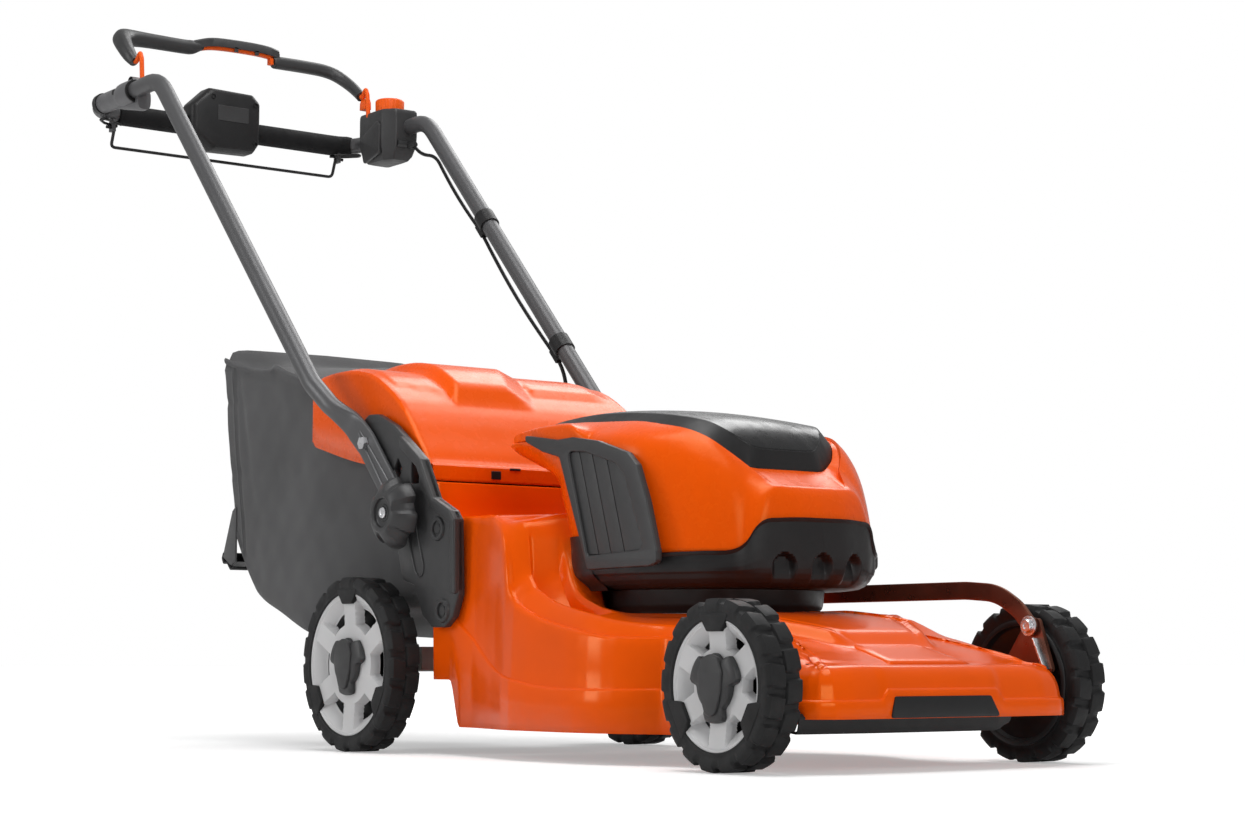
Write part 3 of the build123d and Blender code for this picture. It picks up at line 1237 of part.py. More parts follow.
def all_pieces():
    made = {
        "deck_shell": deck_shell(),
        "front_valance": front_valance(),
        "housing_lower": housing_lower(),
        "housing_upper": housing_upper(),
        "side_vents": side_vents(),
        "battery_tray": battery_tray(),
        "battery_packs": battery_packs(),
        "blade_motor": blade_motor(),
        "motor_controller": motor_controller(),
        "bracket_right": bracket(-1),
        "bracket_left": bracket(1),
        "bracket_bolts": bracket_bolts(),
        "handle_bolts": handle_bolts(),
        "flap_rod": flap_rod(),
        "front_clamps": axle_clamps(FRONT_PIVOT),
        "rear_clamps": axle_clamps(REAR_PIVOT),
        "height_quadrant": height_quadrant(),
        "cable_lower": cable(lower_route()),
        "motor_shaft": motor_shaft(),
        "blade_hub": blade_hub(),
        "cutting_blade": cutting_blade(),
        "blade_bolt": blade_bolt(),
        "battery_lid": battery_lid(),
        "rear_flap": rear_flap(),
        "bag_frame": bag_frame(),
        "bag_fabric": bag_fabric(),
        "front_axle": front_axle(),
        "rear_axle": rear_axle(),
        "drive_gearbox": drive_gearbox(),
        "height_lever": height_lever(),
        "connecting_rod": connecting_rod(),
        "handle_tube_right": handle_tube(-1),
        "handle_tube_left": handle_tube(1),
        "cross_tube": cross_tube(),
        "foam_grips": foam_grips(),
        "handle_sleeve": handle_sleeve(),
        "switch_box": switch_box(),
        "console_case": console_case(),
        "cable_upper": cable(upper_route()),
        "cable_clips": cable_clips(),
        "bail_wire": bail_wire(),
        "bail_grip": bail_grip(),
        "bail_trigger": bail_trigger(),
        "bail_lower": bail_lower(),
        "speed_dial": speed_dial(),
        "power_button": power_button(),
        "knob_right": star_knob(-1),
        "knob_left": star_knob(1),
    }
    made.update(wheels())
    return made


os.makedirs("parts", exist_ok=True)
for node, shape in all_pieces().items():
    export_step(Pos(0, -Y_MID, 0) * shape, f"parts/{node}.step")
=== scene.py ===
import json
import math
from collections import namedtuple

import bmesh
import bpy
from mathutils import Matrix, Vector


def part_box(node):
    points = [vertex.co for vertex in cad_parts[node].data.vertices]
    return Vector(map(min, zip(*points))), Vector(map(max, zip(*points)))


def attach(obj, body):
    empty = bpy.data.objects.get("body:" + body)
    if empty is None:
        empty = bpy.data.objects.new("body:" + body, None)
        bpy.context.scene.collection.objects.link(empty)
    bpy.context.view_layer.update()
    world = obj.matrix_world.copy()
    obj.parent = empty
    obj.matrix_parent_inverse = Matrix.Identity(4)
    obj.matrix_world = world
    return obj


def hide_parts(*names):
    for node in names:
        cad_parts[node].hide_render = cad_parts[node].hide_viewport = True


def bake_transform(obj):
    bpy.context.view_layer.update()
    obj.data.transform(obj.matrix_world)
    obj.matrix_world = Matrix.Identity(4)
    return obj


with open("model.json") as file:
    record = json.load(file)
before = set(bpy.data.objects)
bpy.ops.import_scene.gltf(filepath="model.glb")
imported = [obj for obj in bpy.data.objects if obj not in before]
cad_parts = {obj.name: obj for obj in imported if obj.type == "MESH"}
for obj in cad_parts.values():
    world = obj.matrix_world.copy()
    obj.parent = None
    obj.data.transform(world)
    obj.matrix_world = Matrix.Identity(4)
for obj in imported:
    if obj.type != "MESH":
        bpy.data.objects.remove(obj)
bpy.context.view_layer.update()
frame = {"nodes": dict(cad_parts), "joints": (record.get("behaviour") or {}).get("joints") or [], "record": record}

MM = 0.001
HANDS = (("right", -1), ("left", 1))
# Thickness of most moulded walls
WALL = 2.0
low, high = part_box("tyre_front_right")
AXLE_Y = (low.y + high.y) / 2
FRONT_R = (high.z - low.z) / 2 / MM
low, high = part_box("tyre_rear_right")
REAR_Y = ((low.y + high.y) / 2 - AXLE_Y) / MM
REAR_R = high.z / 2 / MM


def at(x, y, z):
    """Point of the frame, from millimetres with Y counted from the front axle."""
    return Vector((x * MM, y * MM + AXLE_Y, z * MM))


def pivot(joint):
    """(y, z) of a joint's axis, in millimetres from the front axle."""
    place = next(j["pos_m"] for j in frame["joints"] if j["name"] == joint)
    return ((place[1] - AXLE_Y) / MM, place[2] / MM)


def lerp(a, b, t):
    return a + (b - a) * t


def clamp(value):
    return min(1.0, max(0.0, value))


def ease(low_edge, high_edge, value):
    """Smooth step from 0 to 1."""
    t = clamp((value - low_edge) / (high_edge - low_edge))
    return t * t * (3.0 - 2.0 * t)


def curve_value(table, key):
    """Value of a smooth curve through (key, value) pairs."""
    keys = [k for k, _ in table]
    if key <= keys[0]:
        return table[0][1]
    if key >= keys[-1]:
        return table[-1][1]
    i = max(j for j, k in enumerate(keys) if k <= key)
    (k1, v1), (k2, v2) = table[i], table[i + 1]
    k0, v0 = table[i - 1] if i else (2 * k1 - k2, 2 * v1 - v2)
    k3, v3 = table[i + 2] if i + 2 < len(table) else (2 * k2 - k1, 2 * v2 - v1)
    t = (key - k1) / (k2 - k1)
    m1 = (v2 - v0) / (k2 - k0) * (k2 - k1)
    m2 = (v3 - v1) / (k3 - k1) * (k2 - k1)
    a = 2 * t**3 - 3 * t**2 + 1
    b = t**3 - 2 * t**2 + t
    c = -2 * t**3 + 3 * t**2
    return a * v1 + b * m1 + c * v2 + (t**3 - t**2) * m2


# Meshes

# Longest share of a run that a rounded corner takes, and distances for joining points, in metres
CORNER_SHARE = 0.48
PLATE_MERGE = 1e-6
SHELL_MERGE = 2e-5


def new_object(name, data):
    obj = bpy.data.objects.new(name, data)
    bpy.context.scene.collection.objects.link(obj)
    return obj


def from_faces(name, verts, faces):
    mesh = bpy.data.meshes.new(name)
    mesh.from_pydata([at(*v) for v in verts], [], faces)
    mesh.validate()
    return new_object(name, mesh)


def grid(name, rows, loop=False, cap_first=False, cap_last=False):
    """Quad mesh through rows of points. loop joins the end of each row to its start."""
    count = len(rows[0])
    verts = [p for row in rows for p in row]
    faces = []
    for i in range(len(rows) - 1):
        for j in range(count if loop else count - 1):
            k = (j + 1) % count
            here = i * count
            following = here + count
            faces.append((here + j, here + k, following + k, following + j))
    if cap_first:
        faces.append(tuple(reversed(range(count))))
    if cap_last:
        start = (len(rows) - 1) * count
        faces.append(tuple(range(start, start + count)))
    return from_faces(name, verts, faces)


def loft(name, rows):
    """Closed skin through rings of points, with both ends capped."""
    return grid(name, rows, loop=True, cap_first=True, cap_last=True)


def joined(name, *parts):
    """One object from several."""
    bm = bmesh.new()
    for part in parts:
        bm.from_mesh(part.data)
        old = part.data
        bpy.data.objects.remove(part)
        bpy.data.meshes.remove(old)
    mesh = bpy.data.meshes.new(name)
    bm.to_mesh(mesh)
    bm.free()
    return new_object(name, mesh)


def recalculate(obj):
    """Makes the faces of each shell agree, outwards where the shell is closed."""
    bm = bmesh.new()
    bm.from_mesh(obj.data)
    bmesh.ops.recalc_face_normals(bm, faces=bm.faces)
    bm.to_mesh(obj.data)
    bm.free()


def fused(name, *parts):
    """One object from several shells, with faces that agree within each."""
    obj = joined(name, *parts)
    recalculate(obj)
    return obj


def merge(obj, distance):
    """Makes one point of those that lie closer than a distance in metres."""
    bm = bmesh.new()
    bm.from_mesh(obj.data)
    bmesh.ops.remove_doubles(bm, verts=bm.verts, dist=distance)
    bm.to_mesh(obj.data)
    bm.free()


def face_away(obj, x, y, z):
    """Turns an open shell so that its faces look away from a point inside."""
    centre = at(x, y, z)
    recalculate(obj)
    score = sum(f.normal.dot(f.center - centre) * f.area for f in obj.data.polygons)
    if score < 0:
        obj.data.flip_normals()


def shade(obj, angle):
    """Smooth shading, with edges sharp from an angle in degrees."""
    for polygon in obj.data.polygons:
        polygon.use_smooth = True
    obj.data.set_sharp_from_angle(angle=math.radians(angle))


def thicken(obj, amount, offset=-1.0):
    modifier = obj.modifiers.new("wall", "SOLIDIFY")
    modifier.thickness = amount * MM
    modifier.offset = offset
    modifier.use_even_offset = False


def soften(obj, width, segments=2, angle=35.0):
    modifier = obj.modifiers.new("edge", "BEVEL")
    modifier.width = width * MM
    modifier.segments = segments
    modifier.limit_method = "ANGLE"
    modifier.angle_limit = math.radians(angle)


def apply_modifiers(obj):
    graph = bpy.context.evaluated_depsgraph_get()
    mesh = bpy.data.meshes.new_from_object(obj.evaluated_get(graph))
    obj.modifiers.clear()
    old = obj.data
    obj.data = mesh
    bpy.data.meshes.remove(old)


def round_corner(before, corner, after, radius, steps):
    """Points of the curve that rounds a corner between two straight runs."""
    a = before - corner
    c = after - corner
    reach = min(radius / math.tan(a.angle(c) / 2), CORNER_SHARE * a.length, CORNER_SHARE * c.length)
    start = corner + a.normalized() * reach
    end = corner + c.normalized() * reach
    points = []
    for k in range(steps + 1):
        t = k / steps
        points.append(start * (1 - t) ** 2 + corner * 2 * t * (1 - t) + end * t**2)
    return points


def rounded(points, radius, steps=5):
    """Closed outline with its corners turned into arcs."""
    line = [Vector(p) for p in points]
    out = []
    for i, corner in enumerate(line):
        after = line[(i + 1) % len(line)]
        out += [tuple(p) for p in round_corner(line[i - 1], corner, after, radius, steps)]
    return out


def curve_mesh(name, curve):
    """Mesh of a bevelled curve, which it takes the place of."""
    holder = new_object(name, curve)
    graph = bpy.context.evaluated_depsgraph_get()
    mesh = bpy.data.meshes.new_from_object(holder.evaluated_get(graph))
    bpy.data.objects.remove(holder)
    bpy.data.curves.remove(curve)
    return mesh


def plate(name, outline, x0, x1, edge=1.0, holes=()):
    """Flat plate in the side view from x0 to x1, with holes and rounded edges."""
    curve = bpy.data.curves.new(name, "CURVE")
    curve.dimensions = "2D"
    curve.fill_mode = "BOTH"
    curve.extrude = (abs(x1 - x0) / 2 - edge) * MM
    curve.bevel_depth = edge * MM
    curve.bevel_resolution = 2
    curve.offset = -edge * MM
    for loop in [outline, *holes]:
        spline = curve.splines.new("POLY")
        spline.points.add(len(loop) - 1)
        for point, (y, z) in zip(spline.points, loop):
            point.co = (y * MM, z * MM, 0.0, 1.0)
        spline.use_cyclic_u = True
    mesh = curve_mesh(name, curve)
    upright = Matrix(((0, 0, 1, 0), (1, 0, 0, 0), (0, 1, 0, 0), (0, 0, 0, 1)))
    mesh.transform(Matrix.Translation(at((x0 + x1) / 2, 0, 0)) @ upright)
    obj = new_object(name, mesh)
    merge(obj, PLATE_MERGE)
    recalculate(obj)
    return obj


def signed_power(value, power):
    return math.copysign(abs(value) ** power, value)


def arc_path(points, radius, steps=8):
    """Path of straight runs with round corners. radius is a number, or a list with one for each."""
    line = [Vector(p) for p in points]
    radii = radius if isinstance(radius, list) else [radius] * len(line)
    path = [line[0]]
    for before, corner, after, r in zip(line, line[1:], line[2:], radii):
        path += round_corner(before, corner, after, r, steps)
    return path + [line[-1]]


def sweep_rows(path, section, sides):
    """Rings along a path. section(i, angle) gives the two offsets in the ring's plane."""
    rows = []
    side = None
    for i, p in enumerate(path):
        ahead = path[min(i + 1, len(path) - 1)] - path[max(i - 1, 0)]
        ahead.normalize()
        if side is None:
            guide = Vector((0, 0, 1)) if abs(ahead.z) < 0.8 else Vector((0, 1, 0))
            side = ahead.cross(guide).normalized()
        side = (side - ahead * side.dot(ahead)).normalized()
        up = side.cross(ahead)
        row = []
        for k in range(sides):
            a, b = section(i, 2 * math.pi * k / sides)
            row.append(tuple(p + side * a + up * b))
        rows.append(row)
    return rows


def tube(name, path, radius, sides):
    """Round bar along a path. radius is a number, or a list with one for each point of the path."""
    radii = radius if isinstance(radius, list) else [radius] * len(path)

    def section(i, angle):
        return radii[i] * math.cos(angle), radii[i] * math.sin(angle)
    return loft(name, sweep_rows(path, section, sides))


def ring(radius, sides):
    """Both coordinates of points round a circle."""
    angles = [2 * math.pi * k / sides for k in range(sides)]
    return [(radius * math.cos(a), radius * math.sin(a)) for a in angles]


def turned_x(name, profile, centre, sides):
    """Turned skin about an X axis through centre (y, z), from (x, radius) pairs."""
    y, z = centre
    rows = [[(x, y + a, z + b) for a, b in ring(r, sides)] for x, r in profile]
    return grid(name, rows, loop=True)


def turned_y(name, profile, x, z, sides=48):
    """Turned skin about a Y axis, from (y, radius) pairs."""
    rows = [[(x + a, y, z + b) for a, b in ring(r, sides)] for y, r in profile]
    return grid(name, rows, loop=True)


def turned_z(name, profile, x, y, sides):
    """Turned skin about a Z axis, from (z, radius) pairs."""
    rows = [[(x + a, y + b, z) for a, b in ring(r, sides)] for z, r in profile]
    return grid(name, rows, loop=True)


def box_piece(name, x0, x1, y0, y1, z0, z1):
    verts = [(x, y, z) for x in (x0, x1) for y in (y0, y1) for z in (z0, z1)]
    faces = [(0, 1, 3, 2), (4, 6, 7, 5), (0, 4, 5, 1), (2, 3, 7, 6), (0, 2, 6, 4), (1, 5, 7, 3)]
    obj = from_faces(name, verts, faces)
    recalculate(obj)
    return obj


# Materials


def set_inputs(node, **values):
    """Sets a node's inputs by name, with an underscore for a space."""
    for socket, value in values.items():
        node.inputs[socket.replace("_", " ")].default_value = value
    return node


def add_node(tree, kind, **values):
    return set_inputs(tree.nodes.new("ShaderNode" + kind), **values)


def add_math(tree, operation, first, second):
    """Output of a math node on two outputs, or on an output and a number."""
    node = add_node(tree, "Math")
    node.operation = operation
    for socket, value in zip(node.inputs, (first, second)):
        if isinstance(value, float):
            socket.default_value = value
        else:
            tree.links.new(value, socket)
    return node.outputs["Value"]


def add_noise(tree, place, scale, detail=2.0):
    node = add_node(tree, "TexNoise", Scale=scale, Detail=detail)
    tree.links.new(place, node.inputs["Vector"])
    return node.outputs["Fac"]


def add_range(tree, value, from_min, from_max, to_min, to_max):
    node = add_node(tree, "MapRange", From_Min=from_min, From_Max=from_max, To_Min=to_min, To_Max=to_max)
    tree.links.new(value, node.inputs["Value"])
    return node.outputs["Result"]


# Span of a noise that a colour or gloss change uses, and depth of a relief in metres
NOISE_LOW = 0.3
NOISE_HIGH = 0.7
RELIEF = 0.001
# Materials by name, filled by surface()
MATERIALS = {}


def surface(name, base, rough, metallic=0.0, tint=0.10, rough_spread=0.08, patch=9.0, grain=700.0,
            bump=0.08, specular=0.5, sheen=0.0, shine=(1.0, 1.0, 1.0), pattern=None):
    """Surface with slow colour and gloss changes, and a fine grain or a pattern in relief."""
    mat = bpy.data.materials.new(name)
    mat.use_nodes = True
    tree = mat.node_tree
    shader = set_inputs(tree.nodes["Principled BSDF"], Metallic=metallic, Specular_IOR_Level=specular,
                        Specular_Tint=(*shine, 1.0), Sheen_Weight=sheen)
    place = add_node(tree, "TexCoord").outputs["Object"]
    ramp = add_node(tree, "ValToRGB")
    dark, light = ramp.color_ramp.elements
    dark.position = NOISE_LOW
    light.position = NOISE_HIGH
    dark.color = [c * (1 - tint) for c in base] + [1.0]
    light.color = [min(1.0, c * (1 + tint)) for c in base] + [1.0]
    tree.links.new(add_noise(tree, place, patch, 5.0), ramp.inputs["Fac"])
    tree.links.new(ramp.outputs["Color"], shader.inputs["Base Color"])
    mottle = add_noise(tree, place, patch * 6.0, 4.0)
    gloss = add_range(
        tree, mottle, NOISE_LOW, NOISE_HIGH, max(0.02, rough - rough_spread), rough + rough_spread,
    )
    tree.links.new(gloss, shader.inputs["Roughness"])
    relief = add_node(tree, "Bump", Strength=bump, Distance=RELIEF)
    height = pattern(tree, place) if pattern else add_noise(tree, place, grain)
    tree.links.new(height, relief.inputs["Height"])
    tree.links.new(relief.outputs["Normal"], shader.inputs["Normal"])
    MATERIALS[name] = mat


def drawn_lines(tree, place):
    """Noise drawn out along Y."""
    stretch = add_node(tree, "Mapping", Scale=(900.0, 12.0, 900.0))
    tree.links.new(place, stretch.inputs["Vector"])
    return add_noise(tree, stretch.outputs["Vector"], 1.0)


def brushed(name, base, rough):
    """Metal with fine lines along Y."""
    surface(name, base, rough, metallic=1.0, tint=0.14, bump=0.05, pattern=drawn_lines)


def threads(tree, place):
    """Two crossing sets of threads, with slubs."""
    sets = []
    for axis in ("Y", "Z"):
        wave = add_node(tree, "TexWave", Scale=260.0, Distortion=2.5, Detail=2.0)
        wave.wave_type = "BANDS"
        wave.bands_direction = axis
        tree.links.new(place, wave.inputs["Vector"])
        sets.append(wave.outputs["Fac"])
    return add_math(tree, "MAXIMUM", *sets)


def woven(name, base, rough):
    """Coarse cloth with a dusty sheen."""
    surface(name, base, rough, tint=0.22, patch=5.0, bump=0.35, specular=0.25, sheen=0.25, pattern=threads)


ORANGE = (0.89, 0.096, 0.0012)
ORANGE_SHINE = (1.0, 0.60, 0.20)
BLACK = (0.010, 0.010, 0.0105)
DEEP_BLACK = (0.008, 0.008, 0.0085)
ORANGE_COAT = {"rough_spread": 0.03, "specular": 0.3, "shine": ORANGE_SHINE, "bump": 0.006}
surface("orange_paint", ORANGE, 0.20, tint=0.04, grain=260, **ORANGE_COAT)
surface("orange_plastic", ORANGE, 0.27, tint=0.03, grain=300, **ORANGE_COAT)
surface("orange_control", (0.86, 0.11, 0.008), 0.42, tint=0.06, grain=900, bump=0.06, specular=0.2)
surface("black_gloss", (0.006, 0.006, 0.0065), 0.27, tint=0.2, grain=400, bump=0.004, specular=0.35)
surface("black_plastic", BLACK, 0.42, tint=0.2, grain=1500, bump=0.12, specular=0.3)
surface("dark_plastic", (0.030, 0.030, 0.031), 0.42, tint=0.14, grain=1500, bump=0.12, specular=0.4)
surface("rim_grey", (0.62, 0.62, 0.625), 0.40, tint=0.05, grain=1200, bump=0.06)
surface("tyre_rubber", BLACK, 0.62, tint=0.25, grain=900, bump=0.22, specular=0.3)
surface("tube_coat", (0.085, 0.085, 0.088), 0.38, metallic=0.3, tint=0.06, bump=0.01, rough_spread=0.03)
surface("grip_foam", DEEP_BLACK, 0.75, tint=0.2, grain=2200, bump=0.35, specular=0.2)
brushed("steel", (0.42, 0.41, 0.39), 0.36)
brushed("zinc", (0.70, 0.70, 0.72), 0.26)
surface("cast_alloy", (0.40, 0.40, 0.41), 0.5, metallic=0.9, grain=500, bump=0.3)
surface("battery_case", (0.03, 0.03, 0.031), 0.5, tint=0.2, grain=1500, bump=0.15)
surface("cable_sheath", DEEP_BLACK, 0.45, tint=0.2, grain=900, bump=0.08, specular=0.3)
woven("bag_cloth", (0.078, 0.078, 0.080), 0.88)
surface("sleeve_grey", (0.13, 0.13, 0.135), 0.4, metallic=0.3, tint=0.08, grain=1400, bump=0.08)
# Brown coat of the height rod and front crank; its reddish tint is partly a painted reflection of the orange deck
surface("brown_coat_painted_reflection", (0.22, 0.085, 0.055), 0.34, metallic=0.8, tint=0.12, grain=300, bump=0.01)
for entry in frame["record"]["subparts"]:
    node = frame["nodes"][entry["node"]]
    node.data.materials.clear()
    node.data.materials.append(MATERIALS[entry["material_slot"]])
# The rod and the front axle's crank take the brown coat with the painted reflection of the orange deck
for name in ("connecting_rod", "front_axle"):
    frame["nodes"][name].data.materials[0] = MATERIALS["brown_coat_painted_reflection"]


def dress(obj, look, angle):
    """Material and shading of a piece."""
    obj.data.materials.clear()
    obj.data.materials.append(MATERIALS[look])
    shade(obj, angle)


def piece(obj, look, body, *nodes, slot=None, angle=38.0):
    """Gives a piece its material, shading and body, and the nodes that it stands for."""
    dress(obj, look, angle)
    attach(obj, body)
    if nodes:
        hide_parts(*nodes)


# Camera, floor and light

# Camera: place in millimetres, turn and tilt in degrees, focal length in pixels of the photograph
CAMERA_AT = (-1955.9, -2063.6, 122.3)
CAMERA_YAW = 37.31
CAMERA_PITCH = 5.66
PHOTO_WIDTH = 1245.0
FOCAL_PIXELS = 2462.7
SENSOR = 36.0
# Share of the white that reflections see, and light from all round
GLOSS_SHARE = 0.35
WORLD_FILL = 0.22
WHITE = (1.0, 1.0, 1.0, 1.0)
# Floor: side, height, radii where its glow starts to rise and is full, and its glow under the object
FLOOR_SIZE = 60.0
FLOOR_Z = -0.0005
FLOOR_NEAR = 0.9
FLOOR_FAR = 2.2
FLOOR_GLOW = 0.34
FLOOR_COLOUR = (0.86, 0.86, 0.86, 1.0)


def make_camera():
    data = bpy.data.cameras.new("camera")
    data.sensor_width = SENSOR
    data.lens = SENSOR * FOCAL_PIXELS / PHOTO_WIDTH
    camera = new_object("camera", data)
    camera.location = at(*CAMERA_AT)
    camera.rotation_euler = (math.radians(90.0 + CAMERA_PITCH), 0.0, math.radians(-CAMERA_YAW))
    bpy.context.scene.camera = camera


def seen_share(tree):
    """1 for rays that show the background directly, and a share for what mirrors it."""
    path = add_node(tree, "LightPath").outputs
    bounced = add_math(tree, "MAXIMUM", path["Is Glossy Ray"], path["Is Transmission Ray"])
    weak = add_math(tree, "MULTIPLY", bounced, GLOSS_SHARE)
    return add_math(tree, "MAXIMUM", path["Is Camera Ray"], weak)


def make_world():
    """White behind the object for the camera, and a weaker fill for light that falls on it."""
    world = bpy.data.worlds.new("studio")
    bpy.context.scene.world = world
    world.use_nodes = True
    tree = world.node_tree
    tree.nodes.clear()
    out = add_node(tree, "OutputWorld")
    mix = add_node(tree, "MixShader")
    tree.links.new(seen_share(tree), mix.inputs["Fac"])
    for socket, strength in ((1, WORLD_FILL), (2, 1.0)):
        background = add_node(tree, "Background", Color=WHITE, Strength=strength)
        tree.links.new(background.outputs["Background"], mix.inputs[socket])
    tree.links.new(mix.outputs["Shader"], out.inputs["Surface"])


def make_floor():
    """White floor that fades into the background away from the object."""
    bpy.ops.mesh.primitive_plane_add(size=FLOOR_SIZE, location=(0.0, 0.0, FLOOR_Z))
    floor = bpy.context.object
    floor.name = "floor"
    mat = bpy.data.materials.new("floor_white")
    mat.use_nodes = True
    tree = mat.node_tree
    shader = set_inputs(tree.nodes["Principled BSDF"], Base_Color=FLOOR_COLOUR, Roughness=0.7,
                        Specular_IOR_Level=0.1, Emission_Color=WHITE)
    reach = add_node(tree, "VectorMath")
    reach.operation = "LENGTH"
    spot = add_node(tree, "NewGeometry")
    tree.links.new(spot.outputs["Position"], reach.inputs[0])
    whiten = add_range(tree, reach.outputs["Value"], FLOOR_NEAR, FLOOR_FAR, FLOOR_GLOW, 1.0)
    glow = add_math(tree, "MULTIPLY", seen_share(tree), whiten)
    tree.links.new(glow, shader.inputs["Emission Strength"])
    floor.data.materials.append(mat)


def lamp(name, place, aim, size, power):
    """Area lamp that shines from one point of the frame towards another."""
    data = bpy.data.lights.new(name, "AREA")
    data.shape = "RECTANGLE"
    data.size, data.size_y = size
    data.energy = power
    obj = new_object(name, data)
    obj.location = place
    obj.rotation_euler = (Vector(aim) - Vector(place)).to_track_quat("-Z", "Y").to_euler()
    obj.visible_camera = False


def make_stage():
    make_camera()
    make_world()
    make_floor()
    lamp("overhead", (-0.3, -0.6, 2.7), (0.0, 0.0, 0.3), (1.5, 1.5), 40.0)
    lamp("right_strip", (-2.6, 0.9, 1.3), (0.0, 0.1, 0.35), (0.5, 1.7), 20.0)
    lamp("front_fill", (-0.9, -3.3, 1.3), (0.0, -0.3, 0.3), (1.1, 1.0), 22.0)
    lamp("left_top", (1.7, 1.05, 2.7), (0.0, 0.0, 0.45), (1.6, 1.6), 34.0)
    bpy.context.scene.view_settings.view_transform = "Standard"


# Wheels

# outer_x is the place of the outer face, side is -1 on the right, y and radius give the middle
Wheel = namedtuple("Wheel", "radius width rim_r lugs outer_x y side")
HALF_WIDTH = 262.0
FRONT_TYRE_W = 51.5
FRONT_RIM_R = 73.0
FRONT_LUGS = 17
REAR_TYRE_W = 48.5
REAR_RIM_R = 95.0
REAR_LUGS = 19
REAR_INSET = 3.5
LUG_H = 5.0
LUG_SAMPLES = 14
# Depth of the tyre's wall, on which the lugs are lower and stand out sideways
WALL_DEPTH = 3.6
WALL_LUG = 1.8
TABS = 3
SPOKES = 6
SPOKE_HALF = 14.0
SPOKE_SAMPLES = 44
POCKET_DEPTH = 13.0
# Depth of the rim's lip and of the spokes' face
LIP_DEPTH = 4.0
FACE_DEPTH = 8.0


def wheel_point(w, depth, r, angle):
    """Point of a wheel by depth from its outer face, radius and angle."""
    return (w.side * (w.outer_x - depth), w.y + r * math.cos(angle), w.radius + r * math.sin(angle))


def tyre_profile(w):
    """(depth from the outer face, radius, lug share) from one side of the tyre to the other."""
    foot = w.radius - LUG_H
    half = [
        (7.0, w.rim_r - 1.0, 0.0), (3.0, w.rim_r - 0.5, 0.0), (1.6, w.rim_r + 1.0, 0.0),
        (2.4, w.rim_r + 3.5, 0.0), (2.0, w.rim_r + 6.0, 0.0), (1.9, w.rim_r + 7.5, 0.25),
        (2.2, foot - 4.5, 0.9), (3.0, foot - 1.0, 1.0), (4.4, foot, 1.0), (9.0, foot + 0.4, 1.0),
        (16.0, foot + 0.7, 1.0), (w.width / 2 - 3.5, foot + 0.8, 1.0),
        (w.width / 2 - 1.6, foot + 0.8, 0.75),
    ]
    other = [(w.width - d, r, s) for d, r, s in reversed(half)]
    return half + [(w.width / 2, foot + 0.8, 0.12)] + other


def tyre_mesh(w):
    """Tyre with two staggered rows of blocks that wrap over its shoulders."""
    count = w.lugs * LUG_SAMPLES
    middle = w.width / 2
    rows = []
    for depth, r, share in tyre_profile(w):
        outwards = 1.0 if depth < middle else -1.0
        phase = 0.0 if depth < middle else 0.5
        on_wall = 1.0 if min(depth, w.width - depth) < WALL_DEPTH else 0.0
        row = []
        for k in range(count):
            pitch = (k / LUG_SAMPLES + phase + 0.20 * abs(depth - middle) / w.width) % 1.0
            block = ease(0.07, 0.15, pitch) * (1.0 - ease(0.80, 0.88, pitch)) * share
            lift = block * LUG_H * (1.0 - 0.7 * on_wall)
            angle = 2 * math.pi * k / count - math.pi / 2
            reach = min(r + lift, w.radius)
            row.append(wheel_point(w, depth - outwards * block * on_wall * WALL_LUG, reach, angle))
        rows.append(row)
    tyre = grid("tyre_part", rows, loop=True)
    recalculate(tyre)
    return tyre


def tyre_tabs(w):
    """Wedges of the tyre's sidewall that reach over the rim at every second spoke."""
    half = [(w.rim_r + 5, 25), (w.rim_r - 3, 21), (w.rim_r - 15, 12)]
    shape = [(a, -b) for a, b in half] + list(reversed(half))
    tabs = []
    for i in range(TABS):
        angle = math.pi / 2 + i * 2 * math.pi / TABS
        along = Vector((math.cos(angle), math.sin(angle)))
        across = Vector((-along.y, along.x))
        outline = []
        for a, b in rounded(shape, 3.0, 3):
            p = along * a + across * b
            outline.append((w.y + p.x, w.radius + p.y))
        back = w.side * (w.outer_x - 9.0)
        face = w.side * (w.outer_x - 1.2)
        tabs.append(plate(f"tab_{i}", outline, back, face, 1.4))
    return tabs


def rim_rows(w):
    """Rings of the rim from hub to barrel, and for each ring which points lie in an open pocket."""
    inner = 0.56 * w.rim_r
    reach = w.rim_r - 5.5
    count = SPOKES * SPOKE_SAMPLES
    turn = math.pi / SPOKES
    angles = [2 * math.pi * (k + 0.5) / count + turn for k in range(count)]
    rows = []
    opened = []
    spoke_radii = [lerp(inner, reach, i / 20) for i in range(21)]
    for r in [12.0, 24.0, 0.48 * w.rim_r, *spoke_radii, w.rim_r - 4.4]:
        row = []
        flags = []
        for k, angle in enumerate(angles):
            off = abs((k + 0.5) % SPOKE_SAMPLES - SPOKE_SAMPLES / 2) / SPOKE_SAMPLES * 2 * turn * r
            margin = min(r * turn - SPOKE_HALF - off, r - inner, reach - r + 2.0)
            sink = min(POCKET_DEPTH * ease(0.0, 2.6, margin), max(0.0, (reach - r) * 0.95))
            flags.append(margin > 2.4 and r < reach - POCKET_DEPTH)
            row.append(wheel_point(w, FACE_DEPTH - 2.2 * ease(44.0, w.rim_r - 6.0, r) + sink, r, angle))
        rows.append(row)
        opened.append(flags)
    lip_and_barrel = (
        (LIP_DEPTH, w.rim_r - 3.2), (LIP_DEPTH - 0.6, w.rim_r - 2.0), (LIP_DEPTH, w.rim_r - 0.6),
        (LIP_DEPTH + 3, w.rim_r - 0.2), (w.width - 6, w.rim_r - 0.2), (w.width - 6, w.rim_r - 5.0),
        (FACE_DEPTH + 9, w.rim_r - 5.0),
    )
    for depth, r in lip_and_barrel:
        rows.append([wheel_point(w, depth, r, angle) for angle in angles])
        opened.append([False] * count)
    return rows, opened


